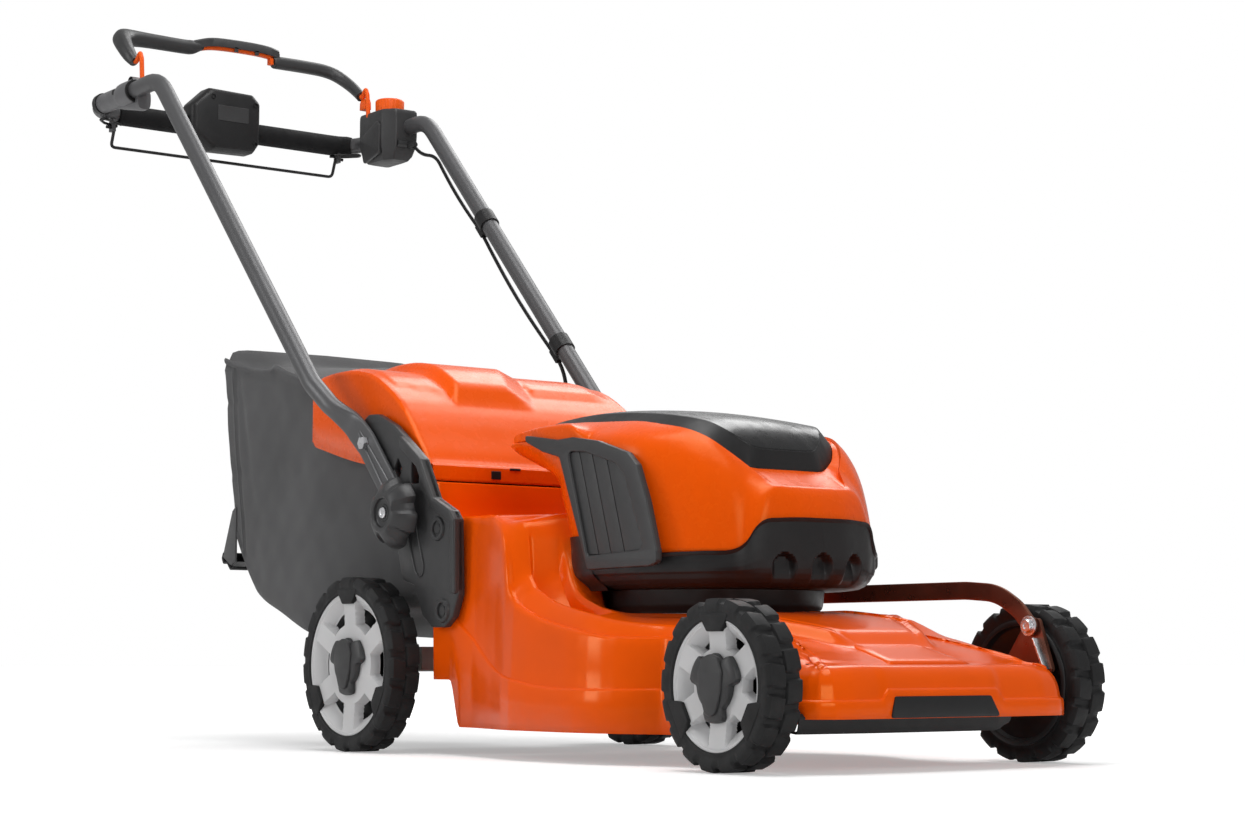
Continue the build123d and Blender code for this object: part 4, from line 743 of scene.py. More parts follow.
def rim_mesh(name, w):
    """Six-spoked face with sloping pockets, a lip and the barrel behind it."""
    rows, opened = rim_rows(w)
    count = len(rows[0])
    obj = grid(name, rows, loop=True)
    bm = bmesh.new()
    bm.from_mesh(obj.data)
    bm.faces.ensure_lookup_table()
    gone = []
    for i in range(len(rows) - 1):
        for k in range(count):
            n = (k + 1) % count
            if opened[i][k] and opened[i][n] and opened[i + 1][k] and opened[i + 1][n]:
                gone.append(bm.faces[i * count + k])
    bmesh.ops.delete(bm, geom=gone, context="FACES")
    bm.to_mesh(obj.data)
    bm.free()
    profile = [
        (FACE_DEPTH, 12.0), (FACE_DEPTH, 21.0), (FACE_DEPTH + 4, 22.0), (w.width, 21.0), (w.width, 6.4),
    ]
    hub = turned_x(name + "_hub", [(w.side * (w.outer_x - d), r) for d, r in profile], (w.y, w.radius), 40)
    whole = joined(name, obj, hub)
    face_away(whole, w.side * (w.outer_x - 40), w.y, w.radius)
    return whole


def back_disc(name, w):
    """Dished plate that closes the wheel on its inner side."""
    inner_x = w.outer_x - w.width
    profile = [
        (inner_x - 0.6, w.rim_r + 1.5), (inner_x - 0.6, w.rim_r - 5.0), (inner_x + 7.0, w.rim_r - 7.0),
        (inner_x + 9.0, w.rim_r - 20.0), (inner_x + 14.0, 40.0), (inner_x + 12.0, 21.5),
    ]
    disc = turned_x(name, [(w.side * x, r) for x, r in profile], (w.y, w.radius), 72)
    face_away(disc, w.side * w.outer_x, w.y, w.radius)
    thicken(disc, WALL)
    return disc


# Outline of the raised shield on a hub cap
CAP_SHIELD = [
    (-13, 30), (0, 34), (13, 30), (20, 14), (18, -8), (9, -30), (0, -34), (-9, -30), (-18, -8),
    (-20, 14),
]
# Depth of the cap's seat, and (rise, share of the radius) up its dome
CAP_SEAT = 7.2
CAP_LAYERS = (
    (0.0, 1.0), (4.0, 1.0), (6.4, 0.97), (8.0, 0.90), (8.6, 0.80), (9.4, 0.66), (10.2, 0.60),
    (10.8, 0.40), (11.0, 0.1),
)


def cap_mesh(name, w):
    """Three-lobed domed hub cap with a raised shield."""
    sides = 72
    rows = []
    for rise, share in CAP_LAYERS:
        row = []
        for k in range(sides):
            angle = 2 * math.pi * k / sides
            lobe = 0.5 + 0.5 * math.cos(3 * (angle - math.radians(30.0)))
            crest = math.exp(-((math.degrees(angle) - 90.0) / 20.0) ** 2)
            r = 28.5 + (12.5 * ease(0.45, 0.72, lobe) + 6.5 * crest) * ease(0.6, 0.9, share)
            row.append(wheel_point(w, CAP_SEAT - rise, r * share, angle))
        rows.append(row)
    dome = grid(name, rows, loop=True, cap_last=True)
    recalculate(dome)
    outline = [(w.y + a, w.radius + b) for a, b in rounded(CAP_SHIELD, 8.0, 5)]
    seat = w.outer_x - CAP_SEAT
    return joined(name, dome, plate("shield", outline, w.side * (seat + 5.0), w.side * (seat + 11.9), 1.5))


def make_wheels():
    ends = {
        "front": (FRONT_R, FRONT_TYRE_W, FRONT_RIM_R, FRONT_LUGS, HALF_WIDTH, 0.0),
        "rear": (REAR_R, REAR_TYRE_W, REAR_RIM_R, REAR_LUGS, HALF_WIDTH - REAR_INSET, REAR_Y),
    }
    for end, sizes in ends.items():
        for hand, side in HANDS:
            wheel = Wheel(*sizes, side)
            tag = f"{end}_{hand}"
            body = f"wheel_{tag}"
            tyre = joined(f"treaded_tyre_{tag}", tyre_mesh(wheel), *tyre_tabs(wheel))
            piece(tyre, "tyre_rubber", body, f"tyre_{tag}", angle=32.0)
            piece(rim_mesh(f"spoked_rim_{tag}", wheel), "rim_grey", body, f"rim_{tag}", angle=40.0)
            piece(back_disc(f"wheel_back_{tag}", wheel), "black_plastic", body, angle=40.0)
            piece(cap_mesh(f"lobed_cap_{tag}", wheel), "dark_plastic", body, f"hub_cap_{tag}", angle=30.0)


# Deck

BLADE_Y = 313.0
SKIRT_HALF = 236.0
NOSE_Y = -105.0
TUNNEL_LEFT = 180.0
TUNNEL_RIGHT = 205.0
MOUTH_Y = 650.0
PLATEAU_Z = 178.0
RIDGE_Z = 305.0
# Y behind which the outline is the tunnel's rear edge
REAR_EDGE_Y = 640.0
# Radius of the round opening under the motor, that the top runs in to
OPENING_R = 126.0
DECK_WALL = 2.2
PLAN_SPACING = 4.5
TOP_STEPS = 64
# Heights of the wall: its foot, its step and its top edge, at the nose and on the left side
SKIRT_FOOT = 36.0
NOSE_FOOT = 58.0
NOSE_STEP = 78.0
LEFT_STEP = 88.0
NOSE_EDGE = 116.0
LEFT_EDGE = 150.0
# Radius of the wall's round edge at the middle of the nose and at its corners
NOSE_ROUND = 24.0
CORNER_ROUND = 34.0
# Shares of the way in over the right side where the raised band and the scoop end, and both heights
BAND_SHARE = 0.17
BAND_RISE = 20.0
SCOOP_SHARE = 0.50
SCOOP_DEPTH = 24.0
# Depth of the grooves beside the nose's hood
GROOVE_DEPTH = 2.2

# Outline of the skirt on the right, before and behind its round part
NOSE_PLAN = [
    (-90, -105), (-148, -104.5), (-174, -101), (-190, -91), (-198, -76), (-200, -58), (-197, -36),
    (-193, -14), (-192, 20), (-192, 60), (-192, 140),
]
SIDE_PLAN = [
    (-236, 350), (-236, 395), (-235, 425), (-231, 447), (-222, 480), (-214, 515), (-208, 545),
    (-205, 600),
]
# Height of the wall's top edge and of its step along the right side, by Y
RIGHT_EDGE = [
    (-67, 113), (-39, 121), (0, 130), (60, 138), (100, 143), (170, 148), (246, 150), (308, 159),
    (365, 170), (405, 183), (432, 197), (446, 214), (453, 246), (468, 280), (495, 299), (520, 303),
    (600, 306),
]
RIGHT_STEP = [(140, 88), (330, 88), (405, 95), (479, 111), (558, 155), (600, 180)]
# By angle about the blade shaft, from the right side towards the rear
INNER_Z = [
    (-38, 176), (-16, 177), (-1, 178), (13, 182), (19, 194), (23.7, 225), (27, 262), (30, 290),
    (33, 303), (37, 305), (42, 306),
]
SCOOP_Z = [
    (-38, 170), (-16, 173), (-5, 180), (6.2, 188), (19.7, 206), (27.3, 238), (31.7, 258), (34, 280),
    (37, 300), (42, 304),
]
# Along the middle of the nose, by Y
NOSE_BASE = [(-92, 114.5), (-66, 118), (-15, 132), (32, 144), (60, 150), (104, 163), (150, 177)]
HOOD_Z = [(-8, 145), (15, 153), (40, 160), (104, 173), (150, 179)]
HOOD_HALF = [(-5, 52), (10, 64), (40, 80), (60, 92), (104, 115), (150, 150)]


def resampled(points, spacing):
    """Points at even spacing along a closed line."""
    loop = [Vector(p) for p in points] + [Vector(points[0])]
    lengths = [(b - a).length for a, b in zip(loop, loop[1:])]
    total = sum(lengths)
    count = int(total / spacing)
    out = []
    i = 0
    passed = 0.0
    for k in range(count):
        want = total * k / count
        while passed + lengths[i] < want:
            passed += lengths[i]
            i += 1
        out.append(loop[i].lerp(loop[i + 1], (want - passed) / lengths[i]))
    return out


def skirt_arc(side, first, last, step):
    """Points of the round skirt about the blade shaft, by angle towards the rear."""
    points = []
    for degrees in range(first, last, step):
        a = math.radians(degrees)
        points.append((side * SKIRT_HALF * math.cos(a), BLADE_Y + SKIRT_HALF * math.sin(a)))
    return points


def deck_plan():
    """Outline of the skirt: nose, right side, tunnel mouth, left side."""
    right = NOSE_PLAN + skirt_arc(-1, -35, 1, 5) + SIDE_PLAN
    mouth = [(-TUNNEL_RIGHT, MOUTH_Y), (TUNNEL_LEFT, MOUTH_Y), (TUNNEL_LEFT, 600), (TUNNEL_LEFT, 470)]
    left = skirt_arc(1, 40, -36, -5) + [(-x, y) for x, y in reversed(NOSE_PLAN)]
    return [(0, NOSE_Y)] + right + mouth + left


def right_top(x, y, edge_z, t):
    """Height over the right side, t from the wall's edge (0) to the collar (1)."""
    angle = math.degrees(math.atan2(y - BLADE_Y, -x))
    r = math.hypot(x, y - BLADE_Y)
    lift = BAND_RISE * (1.0 - ease(33.0, 40.0, angle)) * lerp(0.7, 1.0, ease(-40.0, -5.0, angle))
    middle = curve_value(SCOOP_Z, angle)
    if t < BAND_SHARE:
        z = edge_z + lift * math.sin(math.pi / 2 * t / BAND_SHARE)
    elif t < SCOOP_SHARE:
        z = lerp(edge_z + lift, middle, (t - BAND_SHARE) / (SCOOP_SHARE - BAND_SHARE))
    else:
        z = lerp(middle, curve_value(INNER_Z, angle), ease(SCOOP_SHARE, 0.85, t))
    dip = ease(-10.0, 12.0, angle) * (1.0 - ease(32.0, 33.4, angle))
    dip *= ease(BAND_SHARE, BAND_SHARE + 0.03, t) * (1.0 - ease(SCOOP_SHARE - 0.05, SCOOP_SHARE + 0.01, t))
    z -= SCOOP_DEPTH * dip
    return lerp(PLATEAU_Z, z, ease(137.0, 150.0, r)) if z > PLATEAU_Z else z


def left_top(x, y, edge_z, t):
    """Height over the left side, t from the wall's edge (0) to the collar (1)."""
    angle = math.degrees(math.atan2(y - BLADE_Y, x))
    r = math.hypot(x, y - BLADE_Y)
    z = lerp(min(edge_z, LEFT_EDGE), PLATEAU_Z, ease(0.0, 0.7, t))
    rise = ease(14.0, 30.0, angle) * (1.0 - ease(168.0, 181.0, x)) * ease(140.0, 154.0, r)
    return lerp(z, RIDGE_Z, rise)


def nose_top(x, y, edge_z, inward):
    """Height over the nose: a raised hood with a groove along either side."""
    base = curve_value(NOSE_BASE, y)
    half = curve_value(HOOD_HALF, y)
    off = abs(x)
    hood = (1.0 - ease(half, half + 20.0, off)) * ease(-10.0, 26.0, y)
    z = base + max(0.0, curve_value(HOOD_Z, y) - base) * hood
    groove = ease(half - 15.0, half - 12.0, off) * (1.0 - ease(half - 9.0, half - 6.0, off))
    z -= GROOVE_DEPTH * groove * ease(0.0, 20.0, y) * (1.0 - ease(110.0, 140.0, y))
    return lerp(edge_z, z, ease(0.0, 26.0, inward))


def deck_top(x, y, edge_z, t, inward):
    """Height of the deck's top: both sides, the ridge at the rear and the nose, blended."""
    side_top = right_top if x < 0 else left_top
    r = math.hypot(x, y - BLADE_Y)
    angle = math.degrees(math.atan2(y - BLADE_Y, abs(x)))
    rear = lerp(PLATEAU_Z, RIDGE_Z, ease(140.0, 160.0, r))
    z = lerp(side_top(x, y, edge_z, t), rear, ease(42.0, 50.0, angle))
    return lerp(nose_top(x, y, edge_z, inward), z, ease(125.0, 182.0, y))


def wall_levels(x, y):
    """Bottom, step and top edge of the wall at a point of the outline."""
    if y > REAR_EDGE_Y:
        return 150.0, 200.0, RIDGE_Z + 1.0
    nose = 1.0 - ease(110.0, 160.0, y)
    bottom = lerp(SKIRT_FOOT, NOSE_FOOT, nose) + 60.0 * ease(575.0, 600.0, y)
    if x < 0 or y < 140.0:
        edge = curve_value(RIGHT_EDGE, y)
        step = curve_value(RIGHT_STEP, y)
    else:
        edge = LEFT_EDGE if y < 468.0 else RIDGE_Z
        step = LEFT_STEP
    if y < -30.0:
        edge = lerp(edge, NOSE_EDGE, ease(-30.0, -75.0, y))
    step = lerp(step, NOSE_STEP, nose)
    if y < -95.0:
        step += 12.0 * ease(-110.0, -99.0, x) * (1.0 - ease(67.0, 78.0, x))
    return bottom, step, edge


def wall_shape(x, y, bottom, step, edge):
    """(inset, z) up the wall: skirt, step, upper wall and the round to the top."""
    low_part = [
        (0.0, bottom), (0.0, lerp(bottom, step, 0.6)), (0.3, step - 2.6), (1.2, step - 0.9),
        (3.6, step + 0.8), (4.3, step + 2.8),
    ]
    flank = [
        (5.0, 0.35), (5.8, 0.52), (6.5, 0.70), (7.3, 0.80), (8.0, 0.88), (8.8, 0.92), (9.5, 0.955),
        (11.0, 0.975), (12.5, 0.99), (16.0, 1.0),
    ]
    at_nose = 1.0 - ease(20.0, 120.0, y)
    reach = lerp(NOSE_ROUND, CORNER_ROUND, ease(120.0, 186.0, abs(x)))
    top_part = []
    for i, (inset, share) in enumerate(flank):
        a = math.pi / 2 * (i + 1) / len(flank)
        round_inset = 5.0 + (reach - 5.0) * (1.0 - math.cos(a))
        inset = lerp(inset, round_inset, at_nose)
        share = lerp(share, math.sin(a), at_nose)
        top_part.append((inset, lerp(step + 3.0, edge, share)))
    return low_part + top_part


def make_deck():
    """Pressed shell, as columns that run up the wall and over the top to the opening."""
    plan = resampled(deck_plan(), PLAN_SPACING)
    count = len(plan)
    centre = Vector((0.0, BLADE_Y))
    columns = []
    for k, p in enumerate(plan):
        along = (plan[(k + 1) % count] - plan[k - 1]).normalized()
        inward = Vector((-along.y, along.x))
        if inward.dot(Vector((0.0, 250.0)) - p) < 0:
            inward = -inward
        bottom, step, edge = wall_levels(p.x, p.y)
        if p.y > REAR_EDGE_Y:
            shape = [(0.0, edge - 12 + i) for i in range(14)] + [(0.4, edge - 1.0), (1.0, edge - 0.4)]
        else:
            shape = wall_shape(p.x, p.y, bottom, step, edge)
        column = []
        for inset, z in shape:
            q = p + inward * inset
            column.append((q.x, q.y, z))
        start = p + inward * shape[-1][0]
        end = centre + (start - centre).normalized() * OPENING_R
        for i in range(1, TOP_STEPS + 1):
            t = i / TOP_STEPS
            q = start.lerp(end, t)
            column.append((q.x, q.y, deck_top(q.x, q.y, edge, t, (q - start).length)))
        columns.append(column)
    deck = grid("pressed_deck", [list(row) for row in zip(*columns)], loop=True)
    face_away(deck, 0, 300, 60)
    thicken(deck, DECK_WALL)
    piece(deck, "orange_paint", "deck", "deck_shell", angle=33.0)


TUNNEL_LINE = [
    (598, 304.5), (640, 306.5), (643, 307.5), (644, 311), (644.4, 326), (644.8, 350), (645.4, 353),
    (646.6, 354),
]


def make_tunnel_wall():
    """Upright wall at the rear of the deck's ridge, up to the lip of the flap."""
    rows = []
    for i in range(25):
        x = lerp(-TUNNEL_RIGHT + 2.0, TUNNEL_LEFT, i / 24)
        rows.append([(x, y, z) for y, z in TUNNEL_LINE])
    wall = grid("tunnel_wall", rows)
    face_away(wall, 0, 660, 250)
    thicken(wall, WALL)
    piece(wall, "orange_paint", "deck", angle=30.0)


# Rise of the nose panel at its rim, one step in and from there on
PANEL_RISE = (-1.0, 2.2, 3.0)
NOSE_PLATE = [(-92, 82), (55, 82), (70, 58.5), (-98, 58.5)]


def make_nose_panel():
    """Raised bare panel on the nose."""
    along = 14
    over = 20
    rows = []
    for i in range(along + 1):
        y = lerp(34.0, -70.0, i / along)
        right = lerp(-58.0, -66.0, i / along)
        left = lerp(52.0, 60.0, i / along)
        row = []
        for k in range(over + 1):
            from_rim = min(i, along - i, k, over - k, 2)
            row.append((lerp(right, left, k / over), y, curve_value(NOSE_BASE, y) + PANEL_RISE[from_rim]))
        rows.append(row)
    panel = grid("nose_panel", rows)
    face_away(panel, 0, -20, 0)
    thicken(panel, WALL)
    piece(panel, "orange_paint", "deck", angle=40.0)


def make_valance():
    """Black plate in the front of the nose, and the bowed strip below it."""
    outline = rounded(NOSE_PLATE, 3.0, 3)
    badge = loft("nose_plate", [[(x, y, z) for x, z in outline] for y in (-106.6, -102.0)])
    recalculate(badge)
    soften(badge, 0.8)
    rows = []
    for i in range(41):
        x = lerp(-204.0, 106.0, i / 40)
        bow = 10.0 * abs(x / 178.0) ** 3
        foot = 42.0 + 8.0 * ease(84.0, 106.0, x)
        line = [(-70, 66), (-88, 64), (-91, 60), (-88, foot + 3), (-85, foot), (-76, foot + 1)]
        rows.append([(x, y + bow, z) for y, z in line])
    strip = grid("valance_strip", rows)
    face_away(strip, 0, 0, 60)
    thicken(strip, WALL)
    apply_modifiers(badge)
    apply_modifiers(strip)
    whole = joined("nose_valance", badge, strip)
    piece(whole, "black_plastic", "deck", "front_valance", angle=35.0)


# Motor housing

# Foot of the orange shell, right half from front to rear
SHELL_FOOT = [
    (0, 109, 285), (-34, 111, 285), (-62, 117, 284), (-80, 122, 282), (-91, 127, 273), (-101, 134, 255),
    (-115, 144, 246), (-138, 172, 245), (-160, 220, 244), (-170, 255, 244), (-172, 300, 245),
    (-172, 345, 246), (-172, 352, 272), (-172, 366, 320), (-172, 383, 371), (-172, 420, 387),
    (-170, 462, 396), (-155, 526, 398), (-118, 575, 396), (-60, 590, 396), (0, 592, 396),
]
# Edge of the cheeks, edge of the lid and edge of its glossy dome, right half from front to rear
CHEEK_EDGE = [
    (0, 130, 327), (-30, 130, 327), (-50, 130.5, 327), (-58, 134, 328), (-64.5, 145, 336),
    (-74, 163, 352), (-93, 181, 372), (-106, 200, 387), (-117, 225, 397.5), (-125, 262, 405),
    (-128, 300, 411), (-128, 345, 414), (-128, 380, 416), (-128, 413, 418), (-128, 450, 419),
    (-127, 495, 418), (-124, 530, 415), (-118, 558, 411), (-100, 574, 406), (-55, 579, 404),
    (0, 580, 404),
]
LID_BORDER = [
    (0, 173, 350), (-28, 173, 350), (-46, 173.3, 350), (-56, 175, 351), (-63, 178, 353), (-72, 182, 358),
    (-86, 190, 368), (-100, 205, 384), (-112, 229, 395), (-120.5, 263, 403), (-124, 300, 409.5),
    (-124.5, 345, 412.5), (-124.5, 380, 414.5), (-124.5, 413, 416.5), (-124.5, 450, 417.5),
    (-123.5, 495, 416.5), (-120.5, 528, 413.5), (-115, 555, 409.5), (-98, 571, 405), (-54, 576, 403),
    (0, 577, 403),
]
LID_EDGE = [
    (0, 178, 373.5), (-26, 178, 373.5), (-43, 179, 374.5), (-51, 181.5, 377), (-57.5, 185, 381),
    (-65.5, 190, 387), (-74, 197, 394), (-86, 213, 405), (-96, 232, 411.5), (-103, 262, 417),
    (-106, 300, 422), (-107, 345, 426), (-107, 380, 428), (-107, 413, 429), (-106, 450, 428.5),
    (-104, 495, 426), (-100, 528, 422), (-94, 552, 417.5), (-80, 566, 413), (-45, 571, 411),
    (0, 572, 411),
]
# Drop of the wall inside the cheeks, by station
POCKET_DROP = [(0, 0.6), (3, 0.6), (4, 2.0), (5, 8.0), (6, 4.5), (7, 2.5), (20, 2.0)]
# Share of the way in from foot to border, against share of the way up
FRONT_SHAPE = [
    (0.0, 0.0), (0.2, 0.05), (0.4, 0.13), (0.6, 0.24), (0.74, 0.35), (0.85, 0.48), (0.92, 0.60),
    (0.96, 0.72), (0.985, 0.85), (1.0, 1.0),
]
CHEEK_SHAPE = [
    (0.0, 0.0), (0.17, 0.08), (0.35, 0.17), (0.5, 0.26), (0.65, 0.38), (0.78, 0.54), (0.87, 0.70),
    (0.93, 0.82), (0.97, 0.92), (1.0, 1.0),
]
SIDE_SHAPE = [
    (0.0, 0.0), (0.3, 0.0), (0.55, 0.01), (0.7, 0.02), (0.78, 0.04), (0.84, 0.10), (0.89, 0.24),
    (0.93, 0.46), (0.97, 0.74), (1.0, 1.0),
]
STATIONS = 160
SECTION_STEPS = 30
REAR_HALF = 168.0
# Y of the housing's rear at its sides and in its middle, by Z
REAR_SIDE_Y = [(206, 325), (230, 340), (272, 352), (320, 366), (371, 383), (387, 420), (396, 462)]
REAR_MID_Y = [
    (206, 420), (230, 438), (272, 440), (320, 462), (350, 480), (371, 540), (388, 585), (402, 590),
]


def curve_point(points, key):
    """Point of a smooth curve through points that stand at keys 0, 1, 2 and so on."""
    return [curve_value(list(enumerate(axis)), key) for axis in zip(*points)]


def half_line(points, count):
    """Smooth line through points, in a count of even steps."""
    return [curve_point(points, k * (len(points) - 1) / count) for k in range(count + 1)]


def densified(points, steps):
    """Line with each of its straight runs cut into steps."""
    fine = []
    for a, b in zip(points, points[1:]):
        for i in range(steps):
            fine.append((lerp(a[0], b[0], i / steps), lerp(a[1], b[1], i / steps)))
    return fine + [points[-1]]


def both_halves(right):
    """Closed line from its right half, front to rear."""
    left = [(-x, y, z) for x, y, z in reversed(right[1:-1])]
    return [tuple(p) for p in right] + left


def shape_at(key):
    """Shell's section by place along it: front, cheek, side, as (share up, share in) pairs."""
    front = 1.0 - ease(2.6, 4.2, key)
    side = ease(6.0, 11.0, key)
    cheek = 1.0 - max(front, side)
    section = []
    for f, s, c in zip(FRONT_SHAPE, SIDE_SHAPE, CHEEK_SHAPE):
        section.append([front * f[axis] + side * s[axis] + cheek * c[axis] for axis in range(2)])
    return section


def rear_wall(low_z, high_z, count, sides, half_at):
    """Rows of the housing's round rear between two heights. half_at(z) gives its half width."""
    rows = []
    for j in range(count + 1):
        z = lerp(low_z, high_z, j / count)
        side_y = curve_value(REAR_SIDE_Y, z)
        middle_y = curve_value(REAR_MID_Y, z)
        row = []
        for k in range(sides + 1):
            a = math.pi * k / sides
            x = -half_at(z) * signed_power(math.cos(a), 0.55)
            row.append((x, side_y + (middle_y - side_y) * math.sin(a) ** 0.8, z))
        rows.append(row)
    return rows


def housing_column(key, foot, border, lid_border):
    """Points up the shell from its foot to the border, then down to the edge of the lid's opening."""
    section = shape_at(key)
    column = []
    for j in range(SECTION_STEPS + 1):
        up, inn = curve_point(section, j * (len(section) - 1) / SECTION_STEPS)
        column.append([lerp(a, b, share) for a, b, share in zip(foot, border, (inn, inn, up))])
    edge = Vector(border)
    lip = Vector(lid_border)
    reach = max(1.0, (lip - edge).length)
    drop = Vector((0.0, 0.0, curve_value(POCKET_DROP, key)))
    column.append(edge.lerp(lip, 1.0 / reach) - drop * 0.25)
    column.append(edge.lerp(lip, min(0.4, 2.5 / reach)) - drop)
    column.append(edge.lerp(lip, 0.7) - drop * 0.4)
    column.append(lip - Vector((0.0, 0.0, 1.0)))
    column.append(lip - Vector((0.0, 0.0, 6.0)))
    return column


def make_housing():
    """Orange shell round the lid, with its round rear."""
    lines = [half_line(line, STATIONS) for line in (SHELL_FOOT, CHEEK_EDGE, LID_BORDER)]
    columns = []
    for k, (foot, border, lid_border) in enumerate(zip(*lines)):
        columns.append(housing_column(k * (len(SHELL_FOOT) - 1) / STATIONS, foot, border, lid_border))
    shell = grid("housing_shell", [both_halves(row) for row in zip(*columns)], loop=True)
    rear = grid("housing_rear", rear_wall(246.0, 396.0, 27, 40, lambda z: REAR_HALF))
    whole = joined("housing_cover", shell, rear)
    face_away(whole, 0, 320, 320)
    thicken(whole, WALL)
    piece(whole, "orange_plastic", "deck", "housing_upper", angle=28.0)


# Middles of the finger recesses, and heights where the lower housing turns in and where it ends
CUP_RECESSES = (-55.0, 0.0, 55.0)
RECESS_DEPTH = 12.0
CUP_HALF = 171.5
CUP_TURN = 222
CUP_LOW = 205.0
CUP_FOOT = [(4.5, CUP_TURN), (8.0, 216), (13.0, 211), (21.0, 207), (32.0, 205.5), (48.0, 205)]
COLLAR_PROFILE = [
    (177.0, 129.0), (181.0, 130.0), (184.0, 133.0), (188.0, 134.2), (203.0, 136.0), (207.0, 137.0),
    (212.0, 137.0),
]


def recess_depth(x, level):
    """Depth of the finger recesses in the front of the lower housing."""
    deepest = 0.0
    for middle in CUP_RECESSES:
        arch = 247.0 - 0.045 * (x - middle) ** 2
        across = 1.0 - ease(10.0, 17.0, abs(x - middle))
        over = 1.0 - ease(arch - 4.0, arch, level)
        deepest = max(deepest, RECESS_DEPTH * across * over * ease(204.0, 240.0, level))
    return deepest


def cup_column(x, y, z):
    """Points from the shell's foot down the lower housing and in under it."""
    levels = [(-2.5, z + 3), (-0.5, z - 0.6), (0.4, z - 1.6)]
    for inset, share in ((0.2, 0.25), (0.4, 0.5), (1.0, 0.72), (2.4, 0.9)):
        levels.append((inset, lerp(z, CUP_TURN, share)))
    p = Vector((x, y))
    inward = (Vector((0.0, 300.0)) - p).normalized()
    column = []
    for inset, level in densified(levels + CUP_FOOT, 5):
        sink = recess_depth(x, level) if y < 170.0 else 0.0
        q = p + inward * (inset + sink)
        column.append((q.x, q.y, level))
    return column


def cup_half(z):
    return CUP_HALF - 14.0 * (1.0 - ease(205.0, 226.0, z))


def make_cup():
    """Black lower housing with three finger recesses at the front, and the round collar."""
    foot = half_line([p for p in SHELL_FOOT if p[1] < 346], 260)
    rows = []
    for right in zip(*[cup_column(*p) for p in foot]):
        rows.append([(-x, y, z) for x, y, z in reversed(right[1:])] + list(right))
    rear_rows = rear_wall(CUP_LOW, 272.0, 15, 32, cup_half)
    outer = rows[-1] + list(reversed(rear_rows[0]))
    inner = [(x * 0.55, lerp(BLADE_Y, y, 0.55), CUP_LOW) for x, y, z in outer]
    under = grid("cup_under", [outer, inner], loop=True)
    shell = joined("cup_shell", grid("cup", rows), grid("cup_rear", rear_rows), under)
    face_away(shell, 0, 300, 240)
    collar = turned_z("collar", COLLAR_PROFILE, 0, BLADE_Y, 120)
    face_away(collar, 0, BLADE_Y, 190)
    whole = joined("housing_cup", shell, collar)
    piece(whole, "black_plastic", "deck", "housing_lower", angle=34.0)


# Height of the lid's dome along its middle, by Y, and the gap round the lid
LID_CROWN = [
    (178, 403), (195, 407), (216, 412), (250, 420), (294, 428), (340, 433.5), (400, 438.5), (450, 441),
    (500, 439), (540, 431), (575, 414),
]
LID_GAP = 1.4
# Places of the lid's lines across its rim and its dome
RIM_SHARES = (0.0, 0.04, 0.25, 0.5, 0.75, 0.95, 1.0)
DOME_SHARES = (0.0, 0.02, 0.05, 0.09, 0.14, 0.2, 0.27, 0.35, 0.44, 0.54, 0.65, 0.76, 0.88, 1.0)


def lid_rim_row(share, drop=0.0):
    """Line of the lid's matt rim between its border and the edge of the dome."""
    row = []
    for p, q in zip(both_halves(half_line(LID_BORDER, 90)), both_halves(half_line(LID_EDGE, 90))):
        p, q = Vector(p), Vector(q)
        start = p.lerp(q, min(0.5, LID_GAP / (q - p).length))
        row.append(start.lerp(q, share) - Vector((0.0, 0.0, drop)))
    return row


def lid_dome_row(share):
    """Line of the glossy dome, from its edge (0) to the middle (1)."""
    row = []
    for p in both_halves(half_line(LID_EDGE, 90)):
        p = Vector(p)
        spine = Vector((0.0, min(500.0, max(250.0, p.y)), p.z))
        q = p.lerp(spine, share)
        front = 1.0 - ease(180.0, 240.0, p.y)
        rise = 1.0 - (1.0 - share) ** lerp(2.0, 3.4, front)
        row.append((q.x, q.y, lerp(p.z, max(p.z, curve_value(LID_CROWN, q.y)), rise)))
    return row


def make_lid():
    """Cover inside the cheeks of the housing: matt rim, glossy dome."""
    rim = [lid_rim_row(0.0, 7.0)] + [lid_rim_row(share) for share in RIM_SHARES]
    dome = [lid_dome_row(share) for share in DOME_SHARES]
    looks = (("lid_rim", rim, "black_plastic", ["battery_lid"]), ("lid_dome", dome, "black_gloss", []))
    for name, rows, look, nodes in looks:
        shell = grid(name, rows, loop=True)
        merge(shell, SHELL_MERGE)
        face_away(shell, 0, 350, 330)
        thicken(shell, WALL)
        piece(shell, look, "lid", *nodes, angle=40.0)


# Half width, front, rear and floor of the battery bay
BAY = (89.0, 186.0, 470.0, 282.0)


def make_tray():
    """Shelf under the lid, with the open bay that takes the battery packs."""
    half, front, rear, floor = BAY
    shelf = []
    mouth = []
    lip = []
    base = []
    for x, y, z in both_halves(half_line(LID_BORDER, 90)):
        bay_x = min(half, max(-half, x))
        bay_y = min(rear, max(front, y))
        shelf.append((x * 0.985, lerp(y, 350.0, 0.015), z - 9.0))
        mouth.append((bay_x, bay_y, min(z - 10.0, 388.0)))
        lip.append((bay_x, bay_y, min(z - 13.0, 385.0)))
        base.append((bay_x * 0.98, lerp(bay_y, 328.0, 0.02), floor))
    tray = grid("bay_shelf", [shelf, mouth, lip, base], loop=True, cap_last=True)
    merge(tray, SHELL_MERGE)
    recalculate(tray)
    thicken(tray, WALL)
    piece(tray, "dark_plastic", "deck", "battery_tray", angle=30.0)


# (y, z) outlines of the side panel's frame and of the opening in it, and the x of its inner face
VENT_FRAME = [
    (374, 394), (322, 386), (262, 368), (243, 352), (224, 309), (205, 249), (205, 235), (220, 231),
    (342, 230), (401, 371), (437, 380), (474, 395), (474, 403), (405, 393),
]
VENT_IN = 168.0
